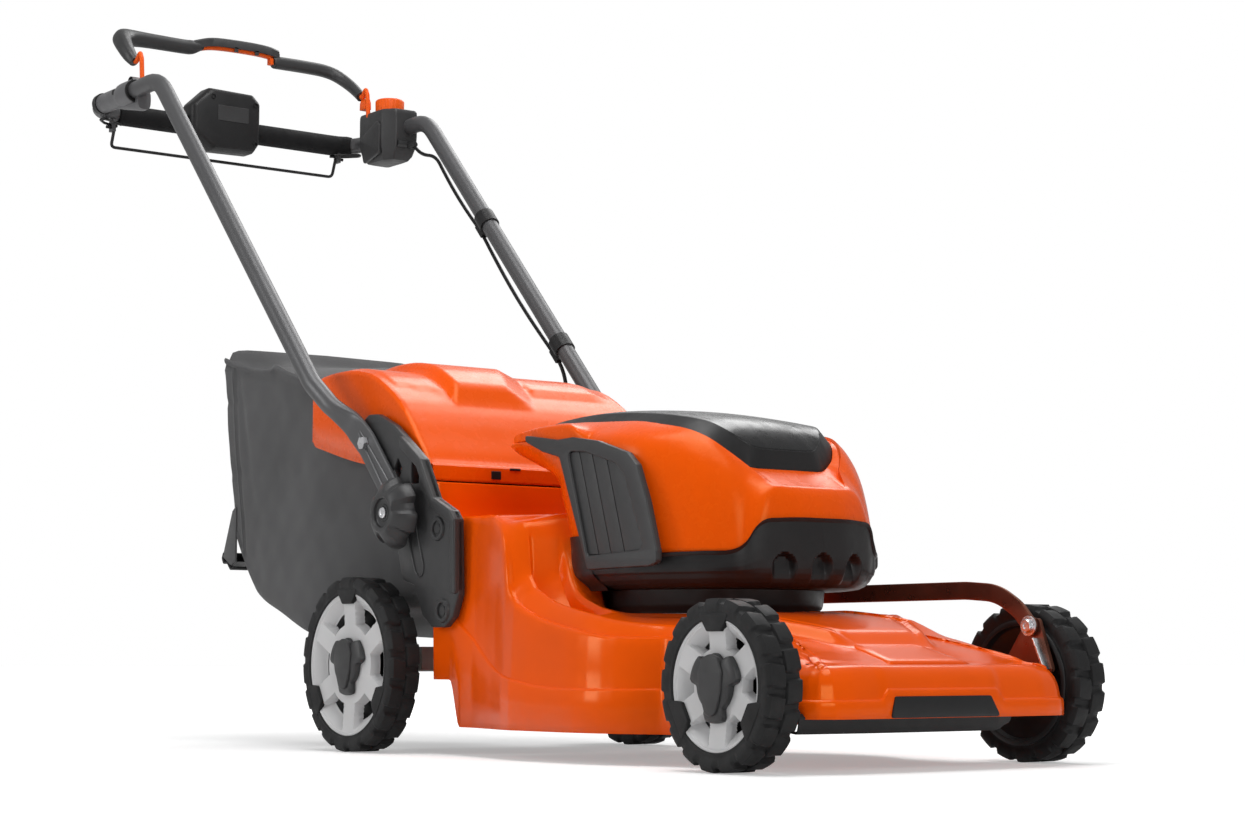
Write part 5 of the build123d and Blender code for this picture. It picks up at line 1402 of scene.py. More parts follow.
# Start and end of each pane behind the slanting line
VENT_PANES = [(225.0, 269.0), (270.2, 296.0), (297.2, 321.0), (322.2, 345.0)]
VENT_INNER = [
    (383, 377), (348, 374), (287, 357), (268, 341), (248, 293), (231, 256), (239, 251), (342, 247),
]


def past_slant(p):
    """Distance of a point behind the slanting line of the panel's rear edge."""
    return p[0] - (p[1] - 247.0) * 0.315


def clipped(points, low, high):
    """Part of an outline between two slanting lines, both parallel to the panel's rear edge."""
    out = points
    for limit, sign in ((low, 1.0), (high, -1.0)):
        source = out
        out = []
        for a, b in zip(source, source[1:] + source[:1]):
            inside_a = sign * (past_slant(a) - limit)
            inside_b = sign * (past_slant(b) - limit)
            if inside_a >= 0:
                out.append(a)
            if inside_a * inside_b < 0:
                t = inside_a / (inside_a - inside_b)
                out.append((lerp(a[0], b[0], t), lerp(a[1], b[1], t)))
    return out


def make_vents():
    """Framed panel of four panes on each side of the housing."""
    inner = rounded(VENT_INNER, 7.0, 4)
    for hand, s in HANDS:
        parts = [plate("vent_frame", rounded(VENT_FRAME, 7.0, 4), s * VENT_IN, s * 177.5, 2.2, [inner])]
        for i, (start, end) in enumerate(VENT_PANES):
            parts.append(plate(f"vent_pane_{i}", clipped(inner, start, end), s * VENT_IN, s * 174.0, 0.5))
        whole = joined(f"vent_panel_{hand}", *parts)
        piece(whole, "dark_plastic", "deck", "side_vents", angle=30.0)


# Rear flap and grass bag

FLAP_HALF = 200.0
FLAP_WALL = 2.4
FLAP_RISE = 18.0
# (y, z) of the flap's top along its middle and of the lower edge of its sides, and x and z of its slots
FLAP_LINE = [
    (650, 356), (650, 366), (650.5, 376), (653, 378.5), (660, 380), (666, 386), (674, 397), (690, 416),
    (706, 436), (722, 454), (737, 469), (756, 483), (775, 495), (794, 505), (814, 513), (832, 517),
    (850, 520), (866, 521.5), (881, 522), (900, 522), (920, 521), (940, 519), (955, 515), (962, 508),
]
FLAP_SLOTS = ((-108, -93, 361, 372), (-78, -61, 374, 377))
FLAP_HEM = [
    (650, 356), (700, 370), (840, 391), (949, 418), (956, 420.5), (960, 424), (963, 430), (966, 440),
]


def flap_lift(x, y):
    """Raised middle of the flap, with a shallow step on either side of it."""
    far_edge = lerp(-12.0, 92.0, (y - 757.0) / 209.0)
    front = clamp((y - 737.0) / 19.0)
    near = clamp((x + 108.0) / 13.0)
    far = clamp((far_edge + 46.0 - x) / 46.0)
    step_y = 756.0 - 0.2 * (x + 105.0)
    near_step = 3.0 * ease(step_y, step_y + 4.0, y)
    near_step *= ease(-188.0, -182.0, x) * (1.0 - ease(-112.0, -100.0, x))
    far_step = 7.0 * ease(768.0, 776.0, y) * ease(30.0, 50.0, x) * (1.0 - ease(150.0, 190.0, x))
    return max(FLAP_RISE * min(front, near, far), near_step, far_step) * (1.0 - ease(955.0, 962.0, y))


def make_flap():
    """Orange rear flap with turned-down edges, and two dark slots by its hinge."""
    shoulder = FLAP_HALF - 7.0
    across = [lerp(-shoulder, shoulder, k / 96) for k in range(97)]
    rows = []
    for y, z in densified(FLAP_LINE, 3):
        hem = min(z - 1.0, curve_value(FLAP_HEM, y))
        drop = ease(650.0, 675.0, y)
        side = [(FLAP_HALF, y, hem), (FLAP_HALF, y, lerp(hem, z, 0.4)), (FLAP_HALF, y, z - 8 * drop),
                (FLAP_HALF - 0.7, y, z - 4 * drop), (FLAP_HALF - 3.0, y, z - drop)]
        top = [(x, y, z + flap_lift(x, y)) for x in across]
        rows.append([(-x, *rest) for x, *rest in side] + top + list(reversed(side)))
    rows.append([(x, 964.5, min(z, 497.0)) for x, _, z in rows[-1]])
    flap = grid("shaped_flap", rows)
    face_away(flap, 0, 800, 300)
    thicken(flap, FLAP_WALL)
    piece(flap, "orange_plastic", "flap", "rear_flap", angle=32.0)
    slots = []
    for x0, x1, z0, z1 in FLAP_SLOTS:
        slots.append(box_piece("slot", x0, x1, 648.6, 650.6, z0, z1))
    whole = joined("flap_slots", *slots)
    soften(whole, 0.6)
    piece(whole, "black_plastic", "flap")


BAG_HALF = 178.0
BAG_FRONT = 664.0
BAG_REAR = 1251.0
BAG_CLOTH = 1.6
# Height of the bag's bottom, of its top edge and of its middle, by Y, and lean of its back, by Z
BAG_LOW = [
    (664, 190), (862, 188), (922, 171), (1000, 157), (1020, 156), (1100, 186), (1176, 213), (1199, 227),
    (1222, 248), (1238, 270), (1251, 296),
]
BAG_RIM = [
    (664, 328), (706, 342), (752, 398), (832, 448), (962, 476), (974, 506), (1032, 526), (1080, 541),
    (1106, 551), (1114, 552), (1124, 548), (1160, 551), (1188, 557), (1231, 570), (1251, 577),
]
BAG_RIDGE = [
    (664, 330), (706, 345), (752, 402), (832, 452), (964, 482), (976, 540), (1011, 550), (1053, 556),
    (1150, 560), (1190, 564), (1225, 575), (1242, 590), (1251, 596),
]
BAG_BACK = [(230, -30), (330, -19), (400, -10), (437, -5), (500, 1), (545, 7), (562, 12), (600, 20)]


def line_fold(distance, width, height):
    """Height of a narrow fold at a distance from its line."""
    return height * math.exp(-((distance / width) ** 2))


def ripple(y, z):
    """Slack in the cloth: broad dents, folds from the top corner, long creases and the rear seam."""
    broad = math.sin(0.013 * y + 0.9) * math.sin(0.011 * z + 2.1) * 4.0
    corner = line_fold(y - 1196.0 - 0.16 * (z - 420.0), 9.0, 2.4) * ease(330.0, 470.0, z)
    crease = line_fold(z - 392.0 - 0.04 * (y - 1000.0), 4.5, 1.6) * ease(900.0, 1040.0, y)
    upper = line_fold(z - 506.0 + 0.10 * (1200.0 - y), 5.0, 2.0) * ease(980.0, 1100.0, y)
    seam = line_fold(y - 1229.0, 2.4, 1.8) - line_fold(y - 1223.0, 2.6, 1.0)
    weave = 0.5 * math.sin(0.11 * y + 0.5 * math.sin(0.05 * z)) * math.sin(0.083 * z)
    return broad + corner + crease + upper + weave - seam


def bag_section(y):
    """Closed section from the middle of the bottom round by the right side, with a dished top."""
    low = curve_value(BAG_LOW, y)
    rim = curve_value(BAG_RIM, y)
    ridge = curve_value(BAG_RIDGE, y)
    slack = ease(BAG_FRONT, 720.0, y)
    half = BAG_HALF
    right = [
        (0.0, low), (-0.35 * half, low - 3.0 * slack), (-0.7 * half, low - 2.0 * slack),
        (-half + 16, low + 1), (-half + 5, low + 6), (-half + 0.5, low + 18),
    ]
    for i in range(1, 30):
        z = lerp(low + 18, rim - 9, i / 30)
        right.append((-half + ripple(y, z) * slack, z))
    hem = ease(974.0, 990.0, y)
    right += [
        (-half - 0.5 * hem, rim - 8), (-half - 2.8 * hem, rim - 5), (-half - 3.2 * hem, rim - 1),
        (-half - 1.0, rim + 2.0 * hem), (-half + 3.0, rim + 1.0 * hem), (-half + 5.0, rim - 2.0 * hem),
    ]
    dish = 17.0 * ease(1112.0, 1150.0, y) * (1.0 - ease(1234.0, BAG_REAR, y))
    crown = lerp(1.6, 16.0, ease(1200.0, BAG_REAR, y))
    for share in (0.93, 0.87, 0.78, 0.66, 0.5, 0.33, 0.16):
        sink = dish * math.sin(math.pi * min(1.0, (1.0 - share) / 0.5))
        right.append((-half * share, lerp(rim, ridge, 1.0 - share**crown) - sink - 2.0 * hem * share))
    right.append((0.0, ridge))
    return right + [(-x, z) for x, z in reversed(right[1:-1])]


# Rings of the bag's back from its edge inwards: share of the edge's size, and bulge
BACK_RINGS = ((0.985, 2.0), (0.93, 3.5), (0.7, 6.0), (0.4, 8.0), (0.1, 8.5))
BACK_MIDDLE_Z = 410.0
# (y, z) lines of the cloth tab and of the strap through it
TAB_LINE = [(1226, 352), (1238, 344), (1262, 286), (1266, 276), (1240, 262), (1226, 268)]
STRAP_LINE = [(1263, 282), (1267, 274), (1262, 266), (1252, 268), (1240, 256), (1230, 260)]


def make_bag():
    """Sewn cloth bag as one lofted shell, with the tab and strap at its rear corner."""
    stations = [664, 668] + [lerp(676, 960, i / 26) for i in range(27)] + [966, 969, 972, 975, 980]
    stations += [lerp(988, 1216, i / 44) for i in range(45)]
    stations += [1220, 1223, 1226, 1229, 1232, 1236, 1241, 1246, 1249, BAG_REAR]
    rows = []
    for y in stations:
        rear = ease(1120.0, 1245.0, y)
        rows.append([(x, y + rear * curve_value(BAG_BACK, z), z) for x, z in bag_section(y)])
    last = rows[-1]
    for share, out in BACK_RINGS:
        row = []
        for x, _, z in last:
            inner_z = lerp(BACK_MIDDLE_Z, z, share)
            row.append((x * share, BAG_REAR + curve_value(BAG_BACK, inner_z) + out, inner_z))
        rows.append(row)
    bag = grid("cloth_bag", rows, loop=True, cap_last=True)
    face_away(bag, 0, 1000, 350)
    thicken(bag, BAG_CLOTH)
    piece(bag, "bag_cloth", "grass_bag", "bag_fabric", angle=50.0)
    tab = plate("bag_tab", rounded(TAB_LINE, 3.0, 3), -178.5, -175.5, 0.8)
    piece(tab, "bag_cloth", "grass_bag", angle=40.0)
    strap_rows = []
    for point in arc_path([(0.0, *p) for p in STRAP_LINE], 4.0, 4):
        strap_rows.append([(x, point.y, point.z) for x in (-179, -170, -150, -128, -122)])
    strap = grid("bag_strap", strap_rows)
    recalculate(strap)
    thicken(strap, 2.4, 0.0)
    piece(strap, "cable_sheath", "grass_bag")


# Side brackets, knobs and tube feet

HANDLE_PIVOT = pivot("handle_fold")
KNOB_AXIS = pivot("knob_right_turn")
BRACKET_IN = 205.0
BRACKET_OUT = 217.0
# (y, z) outlines of the bracket, its raised rim, the ridge round its slot and its two holes
BRACKET_LINE = [
    (799, 446), (786, 452), (765, 451), (722, 433), (650, 383), (618, 330), (578, 312), (568, 300),
    (565, 204), (578, 176), (597, 163), (626, 163), (648, 178), (668, 218), (697, 226), (722, 300),
    (752, 372), (800, 428),
]
BRACKET_EDGE = 2.6
BRACKET_RIM = [
    (704, 420), (650, 383), (618, 330), (578, 312), (568, 300), (565, 204), (577, 206), (580, 296),
    (627, 320), (660, 373), (700, 401),
]
SLOT_RIDGE = [(716, 308), (690, 300), (664, 236), (656, 228), (646, 232), (645, 244), (668, 306)]
DIAMOND_HOLE = [(711, 388), (721, 373), (711, 358), (701, 373)]
SLOT_HOLE = [(660, 379), (678, 379), (678, 352), (660, 352)]
# Middles of the bolt bosses, by side
BOSSES = {-1: ((612, 290), (599, 184)), 1: ((612, 290), (600, 258))}


def ring_piece(name, s, centre, outer, inner, rise):
    """Raised ring on a side bracket, with a sunk floor."""
    profile = [(-1.5, outer + 1.5), (rise - 0.8, outer), (rise, outer - 1.0), (rise, inner + 1.0),
               (rise - 0.8, inner), (-3.0, inner - 0.6), (-3.0, 0.3)]
    return turned_x(name, [(s * (BRACKET_OUT + x), r) for x, r in profile], centre, 40)


def make_bracket(hand, s):
    """Moulded side plate with a raised front rim, bolt bosses and a ridge round its slot."""
    holes = [rounded(DIAMOND_HOLE, 2.0, 3), rounded(SLOT_HOLE, 2.0, 3)]
    outline = rounded(BRACKET_LINE, 9.0, 5)
    rim = rounded(BRACKET_RIM, 5.0, 4)
    parts = [
        plate("bracket_plate", outline, s * BRACKET_IN, s * BRACKET_OUT, BRACKET_EDGE, holes),
        plate("bracket_edge", rim, s * (BRACKET_IN + 2), s * (BRACKET_OUT + 5.0), BRACKET_EDGE),
    ]
    head = [(s * (BRACKET_OUT + x), r) for x, r in ((-3.5, 7.6), (0.6, 7.2), (1.2, 6.4), (1.2, 0.3))]
    for i, centre in enumerate(BOSSES[s]):
        parts.append(ring_piece(f"boss_{i}", s, centre, 15.0, 10.0, 3.4))
        parts.append(turned_x(f"boss_bolt_{i}", head, centre, 6))
    ridge = [(s * (BRACKET_OUT + 0.6), *p) for p in SLOT_RIDGE]
    parts.append(tube("slot_ridge", arc_path(ridge, 10.0, 6), 1.1, 8))
    if s > 0:
        parts.append(box_piece("gland", BRACKET_OUT - 1, BRACKET_OUT + 22, 680, 706, 243, 261))
    whole = joined(f"side_bracket_{hand}", *parts)
    piece(whole, "dark_plastic", "deck", f"bracket_{hand}", angle=30.0)


# (x, radius, share of the lobes) along the knob, and (x, radius) of the bolt's end
KNOB_PROFILE = [
    (226.0, 26.0, 0.0), (226.3, 41.0, 0.7), (227.5, 46.5, 1.0), (229.5, 47.5, 1.0), (236.0, 46.5, 1.0),
    (243.0, 42.5, 0.95), (249.0, 36.5, 0.8), (252.5, 31.5, 0.5), (254.5, 28.5, 0.25), (255.6, 25.5, 0.0),
    (255.8, 21.5, 0.0), (254.6, 19.6, 0.0), (251.0, 18.8, 0.0), (250.4, 17.5, 0.0), (250.4, 11.5, 0.0),
    (251.4, 10.5, 0.0), (251.4, 8.6, 0.0), (250.0, 8.0, 0.0), (250.0, 1.0, 0.0),
]
BOLT_END = [(249.5, 7.6), (253.6, 7.4), (254.6, 6.4), (254.6, 3.4), (253.4, 2.8), (253.4, 0.2)]
LOBE_DEPTH = 7.0


def make_knob(hand, s):
    """Star knob with six lobes, a dished face and the bolt's end in it."""
    y0, z0 = KNOB_AXIS
    sides = 84
    rows = []
    for x, r, share in KNOB_PROFILE:
        row = []
        for k in range(sides):
            a = 2 * math.pi * k / sides
            lobe = 0.5 + 0.5 * math.cos(6 * (a - math.radians(20.0)))
            reach = r - LOBE_DEPTH * share * (1.0 - ease(0.10, 0.55, lobe))
            row.append((s * x, y0 + reach * math.cos(a), z0 + reach * math.sin(a)))
        rows.append(row)
    knob = loft(f"lobed_knob_{hand}", rows)
    recalculate(knob)
    piece(knob, "dark_plastic", f"star_knob_{hand}", f"knob_{hand}", angle=32.0)
    end = turned_x(f"bolt_end_{hand}", [(s * x, r) for x, r in BOLT_END], KNOB_AXIS, 32)
    face_away(end, s * 240, y0, z0)
    piece(end, "zinc", f"star_knob_{hand}", angle=30.0)


FRONT_PIN = pivot("height_link")
ROD_X = 199.0
ROD_RUN_Z = FRONT_PIN[1] + 44.0
REAR_PIN_Y = FRONT_PIN[0] + REAR_Y
REAR_PIN_Z = FRONT_PIN[1] + 21.5
# (x from the rod's middle, radius) of its eyes and of the bolt in the front one
ROD_EYE = [(-2, 0.2), (-2, 10.2), (-1.4, 11.0), (1.4, 11.0), (2, 10.2), (2, 0.2)]
ROD_BOLT = [
    (-2, 12.0), (-3.6, 12.0), (-4.0, 11.4), (-4.0, 8.6), (-7.4, 8.2), (-8.6, 7.0), (-8.6, 3.6),
    (-7.4, 3.0), (-7.4, 0.2),
]


def make_rod():
    """Flat bar of the height of cut, bent down in one sweep to each crank pin."""
    y, z = FRONT_PIN
    points = [(y, z), (y + 18.0, z + 20.0), (y + 52.0, z + 40.0), (y + 104.0, ROD_RUN_Z),
              (REAR_PIN_Y - 90.0, ROD_RUN_Z), (REAR_PIN_Y, REAR_PIN_Z)]
    path = arc_path([(ROD_X, *p) for p in points], [60.0, 110.0, 200.0, 40.0], 10)

    def section(_, angle):
        return 2.0 * signed_power(math.cos(angle), 0.3), 11.0 * signed_power(math.sin(angle), 0.3)
    parts = [loft("rod_bar", sweep_rows(path, section, 24))]
    eye = [(ROD_X + x, r) for x, r in ROD_EYE]
    for centre in (FRONT_PIN, (REAR_PIN_Y, REAR_PIN_Z)):
        parts.append(turned_x("rod_eye", eye, centre, 40))
    rod = fused("height_rod", *parts)
    # Brown coat with a painted reflection of the orange deck in its reddish base colour
    piece(rod, "brown_coat_painted_reflection", "link", "connecting_rod", slot="zinc", angle=40.0)
    bolt = turned_x("rod_bolt", [(ROD_X + x, r) for x, r in ROD_BOLT], FRONT_PIN, 36)
    face_away(bolt, ROD_X, *FRONT_PIN)
    piece(bolt, "zinc", "link", angle=30.0)


def make_crank():
    """Web and flange of the front crank, between its pivot and the rod's pin."""
    y, z = FRONT_PIN
    py, pz = pivot("height_front")
    flange = [(y - 13.0, z - 14.0), (y - 9.5, z - 14.0), (py - 19.0, pz + 10.0), (py - 23.0, pz + 10.0)]
    edge = plate("crank_flange", rounded(flange, 1.5, 3), ROD_X - 9.0, ROD_X + 7.5, 0.8)
    piece(edge, "zinc", "front_crank", angle=40.0)
    web = [(y - 12.0, z - 6.0), (y - 6.0, z + 10.0), (y + 8.0, z + 9.0), (y + 54.0, z - 54.0),
           (py + 30.0, pz - 6.0), (py - 20.0, pz + 6.0)]
    plate_web = plate("crank_web", rounded(web, 5.0, 4), ROD_X + 3.2, ROD_X + 7.8, 0.8)
    # Brown coat with a painted reflection of the orange deck in its reddish base colour
    piece(plate_web, "brown_coat_painted_reflection", "front_crank", slot="zinc", angle=40.0)


# Handle

low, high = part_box("foam_grips")
CROSS_Y = ((low.y + high.y) / 2 - AXLE_Y) / MM
CROSS_Z = (low.z + high.z) / 2 / MM
TUBE_X = 247.0
TUBE_R = 13.5
# (y, z) of the tube's lower end, its top bend and the joint with the cross tube
TUBE_LOW = (HANDLE_PIVOT[0] + 74.0, HANDLE_PIVOT[1] + 54.0)
TUBE_BEND = (CROSS_Y - 237.0, CROSS_Z + 8.0)
JOINT = (CROSS_Y - 68.0, CROSS_Z + 8.0 * 68.0 / 237.0)
BAIL_PIVOT = pivot("bail_squeeze")
FLAT_X = 222.0
FOAM_R = 17.5
FOAM_END_R = 15.5
ELBOW_R = 40
RUN_ANGLE = math.atan2(TUBE_BEND[1] - TUBE_LOW[1], TUBE_BEND[0] - TUBE_LOW[0])


def even_points(path, count, power):
    """(point, length so far) along a path, closer together near its start."""
    lengths = [0.0]
    for a, b in zip(path, path[1:]):
        lengths.append(lengths[-1] + (b - a).length)
    points = []
    for k in range(count):
        want = lengths[-1] * (k / (count - 1)) ** power
        i = max(j for j in range(len(lengths) - 1) if lengths[j] <= want)
        share = min(1.0, (want - lengths[i]) / (lengths[i + 1] - lengths[i]))
        points.append((path[i].lerp(path[i + 1], share), want))
    return points


def make_tube(hand, s):
    """Side tube: flattened foot with two pressed ridges, long run, bend and level top run."""
    foot = Vector(KNOB_AXIS)
    hinge = Vector(HANDLE_PIVOT)
    reach = (hinge - foot).normalized()
    start = foot - reach * 17.0
    points = [
        (s * FLAT_X, *start), (s * FLAT_X, *hinge), (s * (FLAT_X + 2), hinge.x + 36, hinge.y + 30),
        (s * (TUBE_X - 8), TUBE_LOW[0] - 6, TUBE_LOW[1] + 2),
        (s * TUBE_X, TUBE_LOW[0] + 30, TUBE_LOW[1] + 34), (s * TUBE_X, *TUBE_BEND),
        (s * TUBE_X, JOINT[0] - 4.0, JOINT[1]),
    ]
    fine = even_points(arc_path(points, [60.0, 40.0, 40.0, 60.0, 70.0], 10), 150, 1.6)
    flat_until = (hinge - start).length + 18.0

    def section(i, angle):
        want = fine[i][1]
        round_share = ease(flat_until, flat_until + 70.0, want)
        end = math.sqrt(max(0.0, 1.0 - max(0.0, 1.0 - want / 19.0) ** 2))
        power = lerp(0.35, 1.0, round_share)
        half_t = lerp(3.0, TUBE_R, round_share)
        half_w = lerp(20.0 * max(0.12, end), TUBE_R, round_share)
        return half_t * signed_power(math.cos(angle), power), half_w * signed_power(math.sin(angle), power)
    parts = [loft("tube_run", sweep_rows([p for p, _ in fine], section, 28))]
    across = Vector((-reach.y, reach.x))
    for offset in (-6.0, 6.5):
        a = hinge + reach * 22.0 + across * offset * 0.4
        b = foot + reach * 20.0 + across * offset * 1.4
        line = []
        for share, rise in ((0.0, 3.1), (0.2, 3.4), (0.8, 3.4), (1.0, 3.0)):
            line.append(Vector((s * (FLAT_X + rise), *a.lerp(b, share))))
        parts.append(tube("ridge", line, 1.3, 8))
    whole = fused(f"bent_tube_{hand}", *parts)
    piece(whole, "tube_coat", "handle", f"handle_tube_{hand}", angle=40.0)


def make_foam():
    """Foam sleeves on the cross tube, either side of the console. The left one goes round the bend."""
    right = [(x, CROSS_Y, CROSS_Z) for x in (-204, -203, -190, -160, -120, -90, -80.6)]
    left = [(x, CROSS_Y, CROSS_Z) for x in (50.6, 60, 90, 130, 170, 196)]
    for degrees in (12, 24, 36, 48):
        a = math.radians(degrees)
        left.append((207 + ELBOW_R * math.sin(a), CROSS_Y - ELBOW_R + ELBOW_R * math.cos(a), CROSS_Z))
    parts = []
    for line in (right, left):
        radii = [FOAM_END_R] + [FOAM_R] * (len(line) - 2) + [FOAM_END_R]
        parts.append(tube("foam", [Vector(p) for p in line], radii, 32))
    whole = fused("foam_sleeves", *parts)
    piece(whole, "grip_foam", "handle", "foam_grips", angle=50.0)


# By Y from the sleeve's rear end: (y, radius) of its barrel and its seals, and (y, drop, half width)
# of the bail holder
BARREL = [
    (0, 13.8), (0, 15.2), (-2, 15.6), (-60, 15.8), (-68, 16.8), (-74, 18.6), (-80, 19.2), (-106, 19.2),
    (-110, 18.4), (-111, 16.5), (-111, 13.8),
]
SEALS = (
    [(-110.5, 14.0), (-110.5, 18.2), (-113.5, 18.2), (-113.5, 13.7)],
    [(12, 13.7), (11, 16.8), (1.0, 17.4), (0.2, 16.8), (0.2, 13.7)],
)
HOLDER = [(-128, 31, 11), (-118, 32, 10), (-112, 31, 9), (-100, 28, 12), (-60, 20, 10), (-40, 15, 8)]


def make_sleeve():
    """Sleeve over the right tube joint: plain barrel, larger collar, bail holder below."""
    x = -TUBE_X
    z = CROSS_Z + 4.0
    end_y = CROSS_Y - 44.0
    barrel = turned_y("barrel", [(end_y + y, r) for y, r in BARREL], x, z)
    recalculate(barrel)
    rows = []
    for y, drop, half in HOLDER:
        row = []
        for k in range(24):
            a = 2 * math.pi * k / 24
            level = z - drop / 2 + drop / 2 * signed_power(math.sin(a), 0.6)
            row.append((x + 8 + half * signed_power(math.cos(a), 0.6), end_y + y, level))
        rows.append(row)
    holder = loft("holder", rows)
    recalculate(holder)
    socket = turned_x(
        "socket", [(-216.0, 5.0), (-216.0, 9.0), (-218.0, 10.0), (-238.0, 10.0)], BAIL_PIVOT, 32,
    )
    recalculate(socket)
    whole = joined("tube_sleeve", barrel, holder, socket)
    piece(whole, "sleeve_grey", "handle", "handle_sleeve", slot="tube_coat", angle=40.0)
    seals = [turned_y("seal", [(end_y + y, r) for y, r in profile], x, z) for profile in SEALS]
    hole_profile = [(x - 15.2, 5.2), (x - 16.9, 4.6), (x - 16.9, 0.2)]
    hole = turned_x("hole", hole_profile, (end_y - 66.0, z + 4.0), 20)
    whole = fused("sleeve_seals", *seals, hole)
    piece(whole, "black_plastic", "handle", angle=40.0)


def bar(name, stations, sides=28):
    """Swept bar with its own half depth and half height at each station (x, y, z, depth, height)."""
    fine = half_line(stations, 6 * (len(stations) - 1))

    def section(i, angle):
        depth, height = fine[i][3:]
        return depth * signed_power(math.cos(angle), 0.85), height * signed_power(math.sin(angle), 0.85)
    return loft(name, sweep_rows([Vector(p[:3]) for p in fine], section, sides))


BAR_Y = CROSS_Y - 23.0
BAR_Z = CROSS_Z + 124.5
# Stations (x, y, z, half depth, half height) of the bail's two bars, y and z from BAR_Y and BAR_Z
RIGHT_BAR = [
    (-219, -70, -57, 8.5, 8.5), (-223, -60, -45, 11, 11), (-224, -42, -26, 13, 13),
    (-219, -22, -10, 14.5, 14.5), (-207, -8, -3, 14, 14.5), (-190, -2, 0, 12.5, 13.5),
    (-160, 0, 1, 11, 12.5), (-100, 0, 1, 10.5, 12), (-83, 0, 2, 10.2, 12), (-73, 0, 5, 9.5, 9.5),
    (-64, 0, 9, 9, 7),
]
LEFT_BAR = [
    (72, 0, -1.5, 9.5, 9.0), (78, 0, -0.5, 10.5, 10.5), (110, 0, 0, 10.8, 10.8), (140, 0, 0, 10.8, 10.8),
    (168, -1, -1, 10.8, 10.8), (188, -6, -6, 10.6, 10.6), (201, -18, -17, 10.2, 10.2),
    (207, -36, -31, 9.6, 9.6), (208, -54, -44, 9.0, 9.0), (208, -67, -54, 8.6, 8.6),
]
# (y, z) sections of the channel and the trigger, and height of the channel's middle, by X
CHANNEL = [
    (-9, -8), (-9, 4), (-6.5, 7), (6.5, 7), (9, 4), (9, -8), (6.6, -8), (6.6, -1), (-6.6, -1),
    (-6.6, -8),
]
TRIGGER = [(-5.6, -6.2), (5.6, -6.2), (5.6, -11.0), (3.5, -12.6), (-3.5, -12.6), (-5.6, -11.0)]
BAND_LINE = [
    (-80, 1144.5), (-68, 1148.5), (-54, 1152.5), (-37, 1155), (-2, 1156.5), (40, 1156.5), (66, 1154.5),
    (79, 1151),
]


def band_rows(low_x, high_x, steps, section):
    """Rings of a (y, z) section along the arched middle of the upper bail."""
    rows = []
    for i in range(steps + 1):
        x = lerp(low_x, high_x, i / steps)
        rows.append([(x, BAR_Y + y, band_z(x) + z) for y, z in section])
    return rows


def band_z(x):
    return curve_value(BAND_LINE, x)


def make_bail():
    """Moulded loop of the upper bail: thick right bar, thin channel over the trigger, left bar."""
    parts = []
    for name, stations in (("right_bar", RIGHT_BAR), ("left_bar", LEFT_BAR)):
        placed = [(x, BAR_Y + y, BAR_Z + z, *halves) for x, y, z, *halves in stations]
        parts.append(bar(name, placed))
    parts.append(loft("channel", band_rows(-80.0, 80.0, 39, CHANNEL)))
    parts.append(box_piece("step", 74, 81, BAR_Y - 8.6, BAR_Y + 8.6, BAR_Z - 4, BAR_Z + 14))
    for x in (-2, 37):
        z = band_z(x)
        parts.append(box_piece("tab", x - 3.5, x + 3.5, BAR_Y - 9.0, BAR_Y - 6.8, z - 14.0, z - 6))
    whole = fused("moulded_bail", *parts)
    soften(whole, 0.8, 2, 50.0)
    piece(whole, "dark_plastic", "upper_bail", "bail_grip", angle=40.0)


def make_bail_hooks():
    """Bent wire at each end of the upper bail, from its pivot up into the moulding."""
    y, z = BAIL_PIVOT
    wires = []
    for s, top in ((-1, 217), (1, 206)):
        points = [
            (s * 222, y, z), (s * top, y, z), (s * top, y + 4, z + 44), (s * top, y + 9, z + 54),
            (s * top, y + 15, z + 48), (s * (top + 1), y + 22, z + 40),
            (s * (top + 2), BAR_Y - 66, BAR_Z - 53),
        ]
        wires.append(tube("wire", arc_path(points, [7.0, 12.0, 8.0, 12.0, 8.0], 8), 3.8, 16))
    piece(fused("bail_hooks", *wires), "orange_control", "upper_bail", "bail_wire", angle=50.0)


def make_trigger():
    """Strip under the upper bail's channel, with a hooked end."""
    strip = loft("strip", band_rows(-62.0, 71.0, 33, TRIGGER))
    hook = box_piece("hook", 64.5, 71, BAR_Y - 5.6, BAR_Y + 5.6, BAR_Z - 6.0, band_z(68) - 8.0)
    whole = fused("trigger_strip", strip, hook)
    soften(whole, 0.6, 2, 50.0)
    piece(whole, "orange_control", "start_trigger", "bail_trigger", angle=40.0)


LOW_PIVOT = pivot("drive_bail_pull")
CLIP_LOOP = [
    (202, 3, -19.5), (228, -5, -18.5), (246, -26, -18.5), (238, -38, -18.5), (222, -22, -18.5),
    (202, -13, -19.5),
]


def make_lower_bail():
    """Wire loop under the cross tube, with slanting legs and turned-out ends, and its two clips."""
    y, z = LOW_PIVOT
    right = [(-224.0, y, z), (-209.5, y, z), (-209.5, y + 12.0, z - 30.0)]
    points = right + [(-x, *rest) for x, *rest in reversed(right)]
    wire = tube("low_wire", arc_path(points, [5.0, 8.0, 8.0, 5.0], 6), 2.6, 14)
    recalculate(wire)
    piece(wire, "black_plastic", "drive_bail", "bail_lower", slot="steel", angle=50.0)
    clips = []
    for _, s in HANDS:
        loop = [(s * x, CROSS_Y + dy, CROSS_Z + dz) for x, dy, dz in CLIP_LOOP]
        clips.append(tube("clip", arc_path(loop, [14.0, 12.0, 6.0, 6.0], 6), 2.2, 12))
    piece(fused("bail_clips", *clips), "black_plastic", "handle", angle=50.0)


# Heights of the console and the switch box are given for a cross tube at 1013.8 mm
HANDLE_LIFT = CROSS_Z - 1013.8
# (y from the cross tube, inset) from the console's back to its face
CONSOLE_RINGS = ((13, 6.0), (12, 2.0), (6, 0.0), (-16, 0.0), (-22, 1.6), (-26, 5.0), (-28, 10.0))
CONSOLE_SCREWS = ((-42, 1062), (38, 1057), (38, 990))
